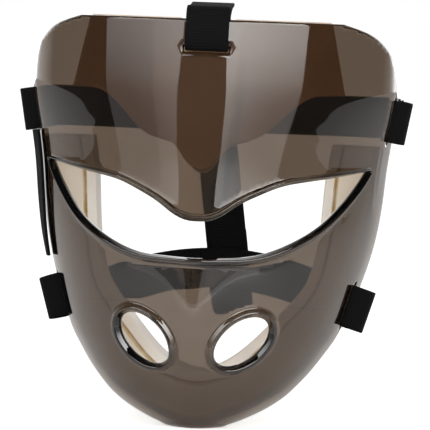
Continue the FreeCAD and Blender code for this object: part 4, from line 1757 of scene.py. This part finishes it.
@dataclass
class Run:
    """The flat stretch of a band, from behind its loop straight back beside the head."""

    start: Vector
    way: Vector
    across: Vector
    out: Vector

    def spot(self, along: float, lift: float = 0.0) -> Vector:
        """A point along the run, lifted off its outer side."""
        return self.start + self.way * along + self.out * lift


@dataclass
class Harness:
    """The elastic bands, the crown strap, and the hook tabs on their fleece."""

    form: ShellForm
    web: Webbing
    finishes: Finishes
    strap: Strap
    loops: WebbingLoops
    reach: float = 97.0 * MM
    upper_height: float = 58.0 * MM
    lower_drop: float = 38.0 * MM
    straight: float = 42.0 * MM
    sewn: float = 1.9 * MM
    near_share: float = 0.85
    far_share: float = 0.5
    crown_drift: float = 17.0 * MM
    crown_left_share: float = 0.45
    crown_bend_rise: float = 15.0 * MM
    crown_near_share: float = 0.45
    crown_lift_share: float = 0.04
    crown_far_share: float = 0.36
    tail_drop: float = 66.0 * MM
    tail_length: float = 52.0 * MM
    tab_length: float = 26.0 * MM
    tab_thick: float = 1.6 * MM
    tab_travel: float = 15.0 * MM
    fleece_thick: float = 0.6 * MM
    fleece_edge: float = 0.9 * MM
    stitch_size: float = 18.0 * MM
    thread: float = 0.6 * MM
    stitch_pitch: float = 3.0 * MM
    stitch_gap_share: float = 0.12
    stitch_sunk_share: float = 0.55
    stitch_thick_share: float = 0.42
    stitch_margin: float = 3.0 * MM
    stitch_rows_back: tuple[float, float] = (3.0 * MM, 6.0 * MM)
    bow_parts: int = 24
    crown_parts: int = 40
    plate_columns: int = 14
    plate_corner_share: float = 0.08
    plate_end_share: float = 0.35
    plate_side_share: float = 0.45

    @property
    def fleece_lift(self) -> float:
        """From a strap's middle to the middle of the fleece on it."""
        return (self.web.thick + self.fleece_thick) / 2

    @property
    def tab_lift(self) -> float:
        """From a strap's middle to the middle of a tab over its fleece."""
        return self.web.thick / 2 + self.fleece_thick + self.web.gap + self.tab_thick / 2

    def run(self, seat: Seat, reach: float) -> Run:
        """Works out a band's flat run behind its loop.

        Args:
            seat: Where the loop sits.
            reach: How far back the loop reaches.

        Returns:
            The run.
        """
        tip_out = -self.form.wall / 2 - self.web.thick + seat.sag * reach * reach / 2
        tip = seat.place(tip_out, reach)
        back = Vector((0, 1, 0))
        way = (back - seat.along * back.dot(seat.along)).normalized()
        out = way.cross(seat.along).normalized()
        if out.dot(seat.out) < 0:
            out.negate()
        return Run(tip + way * (self.web.thick + 2 * self.web.gap), way, seat.along, out)

    def back_line(self, z: float) -> Vector:
        """The crown strap's middle line down the back of the head."""
        share = (self.upper_height - z) / (self.upper_height + self.tail_drop)
        depth = self.reach + self.web.thick + self.web.gap
        return Vector((self.crown_drift * (share - self.crown_left_share), depth, z))

    @property
    def down(self) -> Vector:
        """The way down the back."""
        return (self.back_line(-self.tail_drop) - self.back_line(self.upper_height)).normalized()

    def band(self, name: str, runs: dict[Side, Run], height: float) -> bpy.types.Object:
        """Builds one elastic band round the back of the head.

        Args:
            name: The piece's name, which is also its solid's.
            runs: Its two flat runs.
            height: Its height behind the head.

        Returns:
            The object.
        """
        back = Vector((0, self.reach, height))
        halves, ways = {}, {}
        for side in Side:
            run = runs[side]
            end = run.spot(self.straight)
            gap = (back - end).length
            near = end + run.way * ((self.reach - end.y) * self.near_share)
            far = back + Vector((side.sign * gap * self.far_share, 0, 0))
            bow = [bezier(end, near, far, back, k / self.bow_parts) for k in range(self.bow_parts + 1)]
            halves[side] = [run.spot(-self.sewn)] + bow
            ways[side] = run.across
        line = halves[Side.RIGHT][:-1] + list(reversed(halves[Side.LEFT]))
        total = sum((b - a).length for a, b in zip(line, line[1:]))
        flat = self.straight / total
        upright = Vector((0, 0, 1))

        def across(share: float) -> Vector:
            """The way along the band's width: the slot's lean at its ends, upright behind the head."""
            side = Side.RIGHT if share < 0.5 else Side.LEFT
            inward = min(share, 1.0 - share)
            turn = ease((inward - flat) / (0.5 - flat))
            return ways[side].lerp(upright, turn)

        piece = self.strap.build(f"{name}_strap", line, across, self.finishes.elastic)
        start = min(run.start.y for run in runs.values())
        return self.stretch(piece, name, start)

    def stretch(self, piece: bpy.types.Object, name: str, start: float) -> bpy.types.Object:
        """Bakes a piece's placement into its mesh and hides the solid that it stands for."""
        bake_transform(piece)
        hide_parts(name)
        log.info("%s stretches between mask and harness", name)
        return piece

    def crown(self) -> bpy.types.Object:
        """Builds the strap over the crown and down the back.

        Returns:
            The object.
        """
        seat = self.web.crown_seat(self.form)
        tip = seat.place(-self.form.wall / 2 - self.web.thick / 2 - seat.bow, self.loops.crown_reach)
        start = tip + Vector((0, self.web.thick + 3 * self.web.gap, 0))
        bend = self.back_line(self.upper_height + self.crown_bend_rise)
        low = self.back_line(-self.lower_drop - self.web.width / 2 - self.web.thick)
        gap = (bend - start).length
        near = start + Vector((0, gap * self.crown_near_share, gap * self.crown_lift_share))
        far = bend - self.down * (gap * self.crown_far_share)
        sewn = start - Vector((0, self.sewn, 0))
        arch = [bezier(start, near, far, bend, k / self.crown_parts) for k in range(self.crown_parts + 1)]
        line = [sewn, *arch, low]
        wide = Vector((1, 0, 0))
        piece = self.strap.build("crown_over_strap", line, lambda _: wide, self.finishes.elastic)
        return self.stretch(piece, "crown_strap", start.y)

    def plate(self, name: str, run: Run, length: float, fleece: bool) -> bpy.types.Object:
        """Builds a strip of fleece, or a hook tab of webbing, with soft corners and edges.

        Args:
            name: The piece's name.
            run: Where it starts, at half its thickness, and its ways along, across and through.
            length: Its length.
            fleece: Whether it is fleece.

        Returns:
            The object.
        """
        width = self.web.width - (2 * self.fleece_edge if fleece else 0.0)
        thick = self.fleece_thick if fleece else self.tab_thick
        edge = (run.across - run.way * run.across.dot(run.way)).normalized()
        corner = min(width, length) * self.plate_corner_share
        steps = round(length / (self.strap.rib_pitch / self.strap.steps_per_rib))
        verts, flats = [], []
        columns = self.plate_columns
        for i in range(steps + 1):
            along = length * i / steps
            inset = max(corner - min(along, length - along), 0.0)
            half = width / 2 - (corner - math.sqrt(max(corner**2 - inset**2, 0.0)))
            rib = 0.5 - 0.5 * math.cos(2 * math.pi * along / self.strap.rib_pitch)
            lift = thick / 2 - (0.0 if fleece else self.strap.rib_height * (1 - rib))
            end = self.plate_end_share if i in (0, steps) else 1.0
            for face in (1, -1):
                for j in range(columns + 1):
                    a = -1 + 2 * j / columns
                    thin = self.plate_side_share if j in (0, columns) else 1.0
                    verts.append(run.spot(along, face * lift * min(end, thin)) + edge * (a * half))
                    flats.append((along, a * half))
        faces = []
        row = 2 * (columns + 1)
        for i in range(steps):
            for face in (0, 1):
                for j in range(columns):
                    a = i * row + face * (columns + 1) + j
                    quad = (a, a + 1, a + 1 + row, a + row)
                    faces.append(quad if face else tuple(reversed(quad)))
            for j in (0, columns):
                a, b = i * row + j, i * row + columns + 1 + j
                quad = (a, b, b + row, a + row)
                faces.append(tuple(reversed(quad)) if j else quad)
        for i in (0, steps):
            for j in range(columns):
                a, b = i * row + j, i * row + columns + 1 + j
                quad = (a, a + 1, b + 1, b)
                faces.append(tuple(reversed(quad)) if i else quad)
        piece = add_piece(name, verts, faces, self.finishes.fleece if fleece else self.finishes.webbing)
        layer = piece.data.uv_layers.new(name="strap")
        for polygon in piece.data.polygons:
            for loop, v in zip(polygon.loop_indices, polygon.vertices):
                layer.data[loop].uv = flats[v]
        return piece

    def tab_pair(self, place: str, side: Side, run: Run) -> list[bpy.types.Object]:
        """Builds a run's fleece and the hook tab on it, with two rows of stitches.

        Args:
            place: Whether it is at the temple or the jaw.
            side: The wearer's side.
            run: The band's run.

        Returns:
            The three objects.
        """
        pile = replace(run, start=run.spot(0.0, self.fleece_lift))
        fleece = self.plate(f"{place}_pile_{side.value}", pile, self.tab_length + self.tab_travel, True)
        settle(fleece, Body.HARNESS.value, "fleece", [f"{place}_fleece_{side.value}"])
        hooks = replace(run, start=run.spot(0.0, self.tab_lift))
        tab = self.plate(f"{place}_hook_strap_{side.value}", hooks, self.tab_length, False)
        body = f"{place}_tab_{side.value}"
        settle(tab, body, "webbing", [body])
        return [fleece, tab, self.stitch_rows(body, run, self.tab_lift + self.tab_thick / 2)]

    def stitch_rows(self, tab: str, run: Run, lift: float) -> bpy.types.Object:
        """Sews two rows of stitches across the far end of a tab.

        Args:
            tab: The tab's body.
            run: The band's run.
            lift: From the band's middle to the tab's outer face.

        Returns:
            The object.
        """
        chains = []
        half = self.web.width / 2 - self.stitch_margin
        for back in self.stitch_rows_back:
            middle = run.spot(self.tab_length - back, lift)
            chains.append((middle - run.across * half, middle + run.across * half))
        piece = self.stitches(f"{tab}_stitching", chains, run.out)
        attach(piece, tab)
        return piece

    def stitches(self, name: str, chains: Iterable[tuple[Vector, Vector]], out: Vector) -> bpy.types.Object:
        """Builds raised stitches along straight chains.

        Args:
            name: The piece's name.
            chains: The chains' ends.
            out: The way off the cloth.

        Returns:
            The object.
        """
        verts, faces = [], []
        radius = self.thread * self.stitch_thick_share
        gap = self.stitch_gap_share
        sides, rings = 8, 5
        for a, b in chains:
            length = (b - a).length
            count = max(1, round(length / self.stitch_pitch))
            way = (b - a).normalized()
            edge = way.cross(out).normalized()
            for k in range(count):
                start = a + way * (length * (k + gap) / count)
                span = length * (1 - 2 * gap) / count
                first = len(verts)
                for i in range(rings):
                    share = i / (rings - 1)
                    swell = math.sin(math.pi * (gap + (1 - 2 * gap) * share))
                    middle = start + way * (span * share) + out * (radius * (swell - self.stitch_sunk_share))
                    for j in range(sides):
                        turn = 2 * math.pi * j / sides
                        spoke = edge * math.cos(turn) + out * math.sin(turn)
                        verts.append(middle + spoke * (radius * swell))
                faces += tube(rings, sides, first)
        return add_piece(name, verts, faces, self.finishes.thread)

    def crown_tail(self) -> list[bpy.types.Object]:
        """Builds the crown strap's loose end and the fleece under it.

        Returns:
            The two objects.
        """
        rear, wide = Vector((0, 1, 0)), Vector((1, 0, 0))
        low = -self.lower_drop - self.web.width / 2
        fleece_top = self.back_line(low + self.tail_length / 2 + self.tab_travel)
        pile = Run(fleece_top + rear * self.fleece_lift, self.down, wide, rear)
        fleece = self.plate("crown_pile", pile, self.tail_length / 2, True)
        settle(fleece, Body.HARNESS.value, "fleece", ["crown_fleece"])
        top = self.back_line(self.tail_length - self.tail_drop)
        hooks = Run(top + rear * self.tab_lift, self.down, wide, rear)
        tail = self.plate("crown_end_strap", hooks, self.tail_length, False)
        settle(tail, "crown_tail", "webbing", ["crown_tail"])
        return [fleece, tail]

    def cross_stitch(self) -> bpy.types.Object:
        """Sews the crown strap to the upper band with a square and a cross.

        Returns:
            The object.
        """
        rear = Vector((0, 1, 0))
        edge = rear.cross(self.down).normalized()
        centre = self.back_line(self.upper_height) + rear * (self.web.thick / 2)
        half = self.stitch_size / 2
        signs = ((-1, -1), (1, -1), (1, 1), (-1, 1))
        corners = [centre + edge * (a * half) + self.down * (b * half) for a, b in signs]
        chains = [(corners[k], corners[(k + 1) % 4]) for k in range(4)]
        chains += [(corners[0], corners[2]), (corners[1], corners[3])]
        piece = self.stitches("cross_stitching", chains, rear)
        settle(piece, Body.HARNESS.value, "thread", ["harness_stitching"])
        return piece

    def build(self) -> list[bpy.types.Object]:
        """Builds the harness.

        Returns:
            The pieces.
        """
        upper = {s: self.run(self.web.temple_seat(self.form, s), self.loops.temple_reach) for s in Side}
        lower = {s: self.run(self.web.jaw_seat(self.form, s), self.loops.jaw_reach) for s in Side}
        pieces = [
            self.band("upper_band", upper, self.upper_height),
            self.band("lower_band", lower, -self.lower_drop),
            self.crown(),
            self.cross_stitch(),
        ]
        for place, runs in (("temple", upper), ("jaw", lower)):
            for side, run in runs.items():
                pieces += self.tab_pair(place, side, run)
        return pieces + self.crown_tail()


@dataclass
class Lamp:
    """A soft box: where it stands round the mask and how bright its face is.

    It is either seen mirrored in the shell or lights the mask. A mirrored box fades downward to a share of
    its light.
    """

    name: str
    azimuth_deg: float
    elevation_deg: float
    distance: float
    width: float
    height: float
    radiance: float
    mirrored: bool
    fade_share: float = 1.0


@dataclass
class Studio:
    """The pale floor, the soft boxes, the white surround and the camera."""

    form: ShellForm
    azimuth_deg: float = 4.8
    elevation_deg: float = 2.9
    roll_deg: float = 2.2
    distance: float = 1.986
    aim: Vector = field(default_factory=lambda: Vector((0.0, -0.030, -0.003)))
    frame_pixels: float = 430.0
    pixel: float = 0.578 * MM
    sensor_mm: float = 36.0
    centre_column: float = 204.6
    centre_row: float = 221.0
    surround: float = 0.75
    room_dark: float = 0.05
    room_bright: float = 2.8
    room_turn: Flat = (0.35, 0.85)
    fade_turn: Flat = (0.35, 0.9)
    floor_half: float = 12.0
    floor_drop: float = 0.5 * MM
    floor_glow: float = 0.45
    clip: Flat = (0.05, 60.0)
    lamps: tuple[Lamp, ...] = (
        Lamp("left_box", -45.0, 22.0, 1.3, 1.05, 1.5, 5.2, True, 0.1),
        Lamp("right_box", 32.0, 22.0, 1.3, 1.05, 1.5, 9.5, True, 0.1),
        Lamp("front_box", -12.0, 24.0, 1.6, 1.4, 1.0, 3.4, False),
        Lamp("fill_box", 38.0, 18.0, 1.6, 1.0, 1.0, 3.0, False),
    )

    @staticmethod
    def around(azimuth_deg: float, elevation_deg: float) -> Vector:
        """The direction out from the mask: azimuth 0 is in front of it."""
        a, e = math.radians(azimuth_deg), math.radians(elevation_deg)
        return Vector((math.sin(a) * math.cos(e), -math.cos(a) * math.cos(e), math.sin(e)))

    def place_lamps(self) -> None:
        """Stands the soft boxes round the mask, facing it."""
        for lamp in self.lamps:
            light = bpy.data.lights.new(lamp.name, "AREA")
            light.shape = "RECTANGLE"
            light.size, light.size_y = lamp.width, lamp.height
            light.energy = lamp.radiance * math.pi * lamp.width * lamp.height
            stand = bpy.data.objects.new(lamp.name, light)
            spot = self.around(lamp.azimuth_deg, lamp.elevation_deg)
            stand.location = self.aim + spot * lamp.distance
            stand.rotation_euler = spot.to_track_quat("Z", "Y").to_euler()
            stand.visible_glossy = lamp.mirrored
            stand.visible_diffuse = not lamp.mirrored
            self.fade(light, lamp.fade_share)
            bpy.context.scene.collection.objects.link(stand)

    def fade(self, light: bpy.types.Light, low: float) -> None:
        """Fades a soft box from its upper part to its lower part."""
        graph = Graph(light)
        face = graph.add("ShaderNodeNewGeometry").outputs["Parametric"]
        height = graph.add("ShaderNodeSeparateXYZ", {0: face}).outputs[1]
        share = graph.ramp(height, *self.fade_turn, low, 1.0, interpolation_type="SMOOTHSTEP")
        glow = graph.add("ShaderNodeEmission", {"Strength": share})
        graph.finish(glow.outputs[0], "ShaderNodeOutputLight")

    def place_surround(self) -> None:
        """Surrounds the mask with white for what is seen and with softer light for what is lit."""
        world = bpy.data.worlds.new("white_surround")
        bpy.context.scene.world = world
        graph = Graph(world)
        path = graph.add("ShaderNodeLightPath")
        seen = graph.math("MAXIMUM", path.outputs["Is Camera Ray"], path.outputs["Is Transmission Ray"])
        way = graph.add("ShaderNodeSeparateXYZ", {0: graph.add("ShaderNodeTexCoord").outputs["Generated"]})
        room = graph.ramp(way.outputs[1], *self.room_turn, self.room_dark, self.room_bright)
        unseen = graph.ramp(path.outputs["Is Glossy Ray"], 0.0, 1.0, self.surround, room)
        strength = graph.ramp(seen, 0.0, 1.0, unseen, 1.0)
        back = graph.add("ShaderNodeBackground", {"Color": (1.0, 1.0, 1.0, 1.0), "Strength": strength})
        graph.finish(back.outputs[0], "ShaderNodeOutputWorld")

    def place_floor(self) -> None:
        """Lays a pale floor under the chin that keeps the mask's shadow."""
        graph = Graph(bpy.data.materials.new("pale_floor"))
        speckle = graph.noise(3.0, 2.0)
        colour = graph.mix(speckle, (0.86, 0.86, 0.86), (0.88, 0.88, 0.88))
        matte = graph.add("ShaderNodeBsdfDiffuse", {"Color": colour})
        path = graph.add("ShaderNodeLightPath")
        seen = graph.math("MAXIMUM", path.outputs["Is Camera Ray"], path.outputs["Is Transmission Ray"])
        glow = graph.add("ShaderNodeEmission", {"Strength": graph.math("MULTIPLY", seen, self.floor_glow)})
        both = graph.add("ShaderNodeAddShader", {0: matte.outputs[0], 1: glow.outputs[0]})
        material = graph.finish(both.outputs[0])
        half = self.floor_half
        level = -self.form.chin_drop - self.floor_drop
        corners = [Vector((a * half, b * half, level)) for a, b in ((-1, -1), (1, -1), (1, 1), (-1, 1))]
        floor = add_piece("floor", corners, [(0, 1, 2, 3)], material)
        if floor.data.polygons[0].normal.z < 0:
            floor.data.flip_normals()

    def place_camera(self) -> None:
        """Stands the camera at the photograph's viewing angle."""
        camera = bpy.data.cameras.new("camera")
        camera.sensor_width = self.sensor_mm
        camera.lens = self.sensor_mm * self.distance / (self.pixel * self.frame_pixels)
        half = self.frame_pixels / 2
        camera.shift_x = (half - self.centre_column) / self.frame_pixels
        camera.shift_y = (self.centre_row - half) / self.frame_pixels
        camera.clip_start, camera.clip_end = self.clip
        stand = bpy.data.objects.new("camera", camera)
        spot = self.around(self.azimuth_deg, self.elevation_deg)
        turn = spot.to_track_quat("Z", "Y").to_matrix().to_4x4()
        roll = Matrix.Rotation(math.radians(self.roll_deg), 4, "Z")
        stand.matrix_world = Matrix.Translation(self.aim + spot * self.distance) @ turn @ roll
        bpy.context.scene.collection.objects.link(stand)
        bpy.context.scene.camera = stand

    def build(self) -> None:
        """Sets up the whole studio."""
        bpy.context.scene.view_settings.view_transform = "Standard"
        self.place_surround()
        self.place_floor()
        self.place_lamps()
        self.place_camera()


def main() -> None:
    """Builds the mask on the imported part, dresses it and lights it."""
    logging.basicConfig(level=logging.INFO, format="%(message)s")
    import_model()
    form, web, finishes = ShellForm(), Webbing(), Finishes()
    Studio(form).build()
    strap = Strap(web)
    loops = WebbingLoops(form, web, finishes, strap)
    pieces = [Shell(form, web, finishes).build()]
    pieces += ForeheadFoam(form, web, finishes).build()
    pieces += RimFoam(form, web, finishes).build()
    pieces += loops.build()
    pieces += Harness(form, web, finishes, strap, loops).build()
    log.info("%d pieces", len(pieces))


if __name__ == "__main__":
    main()
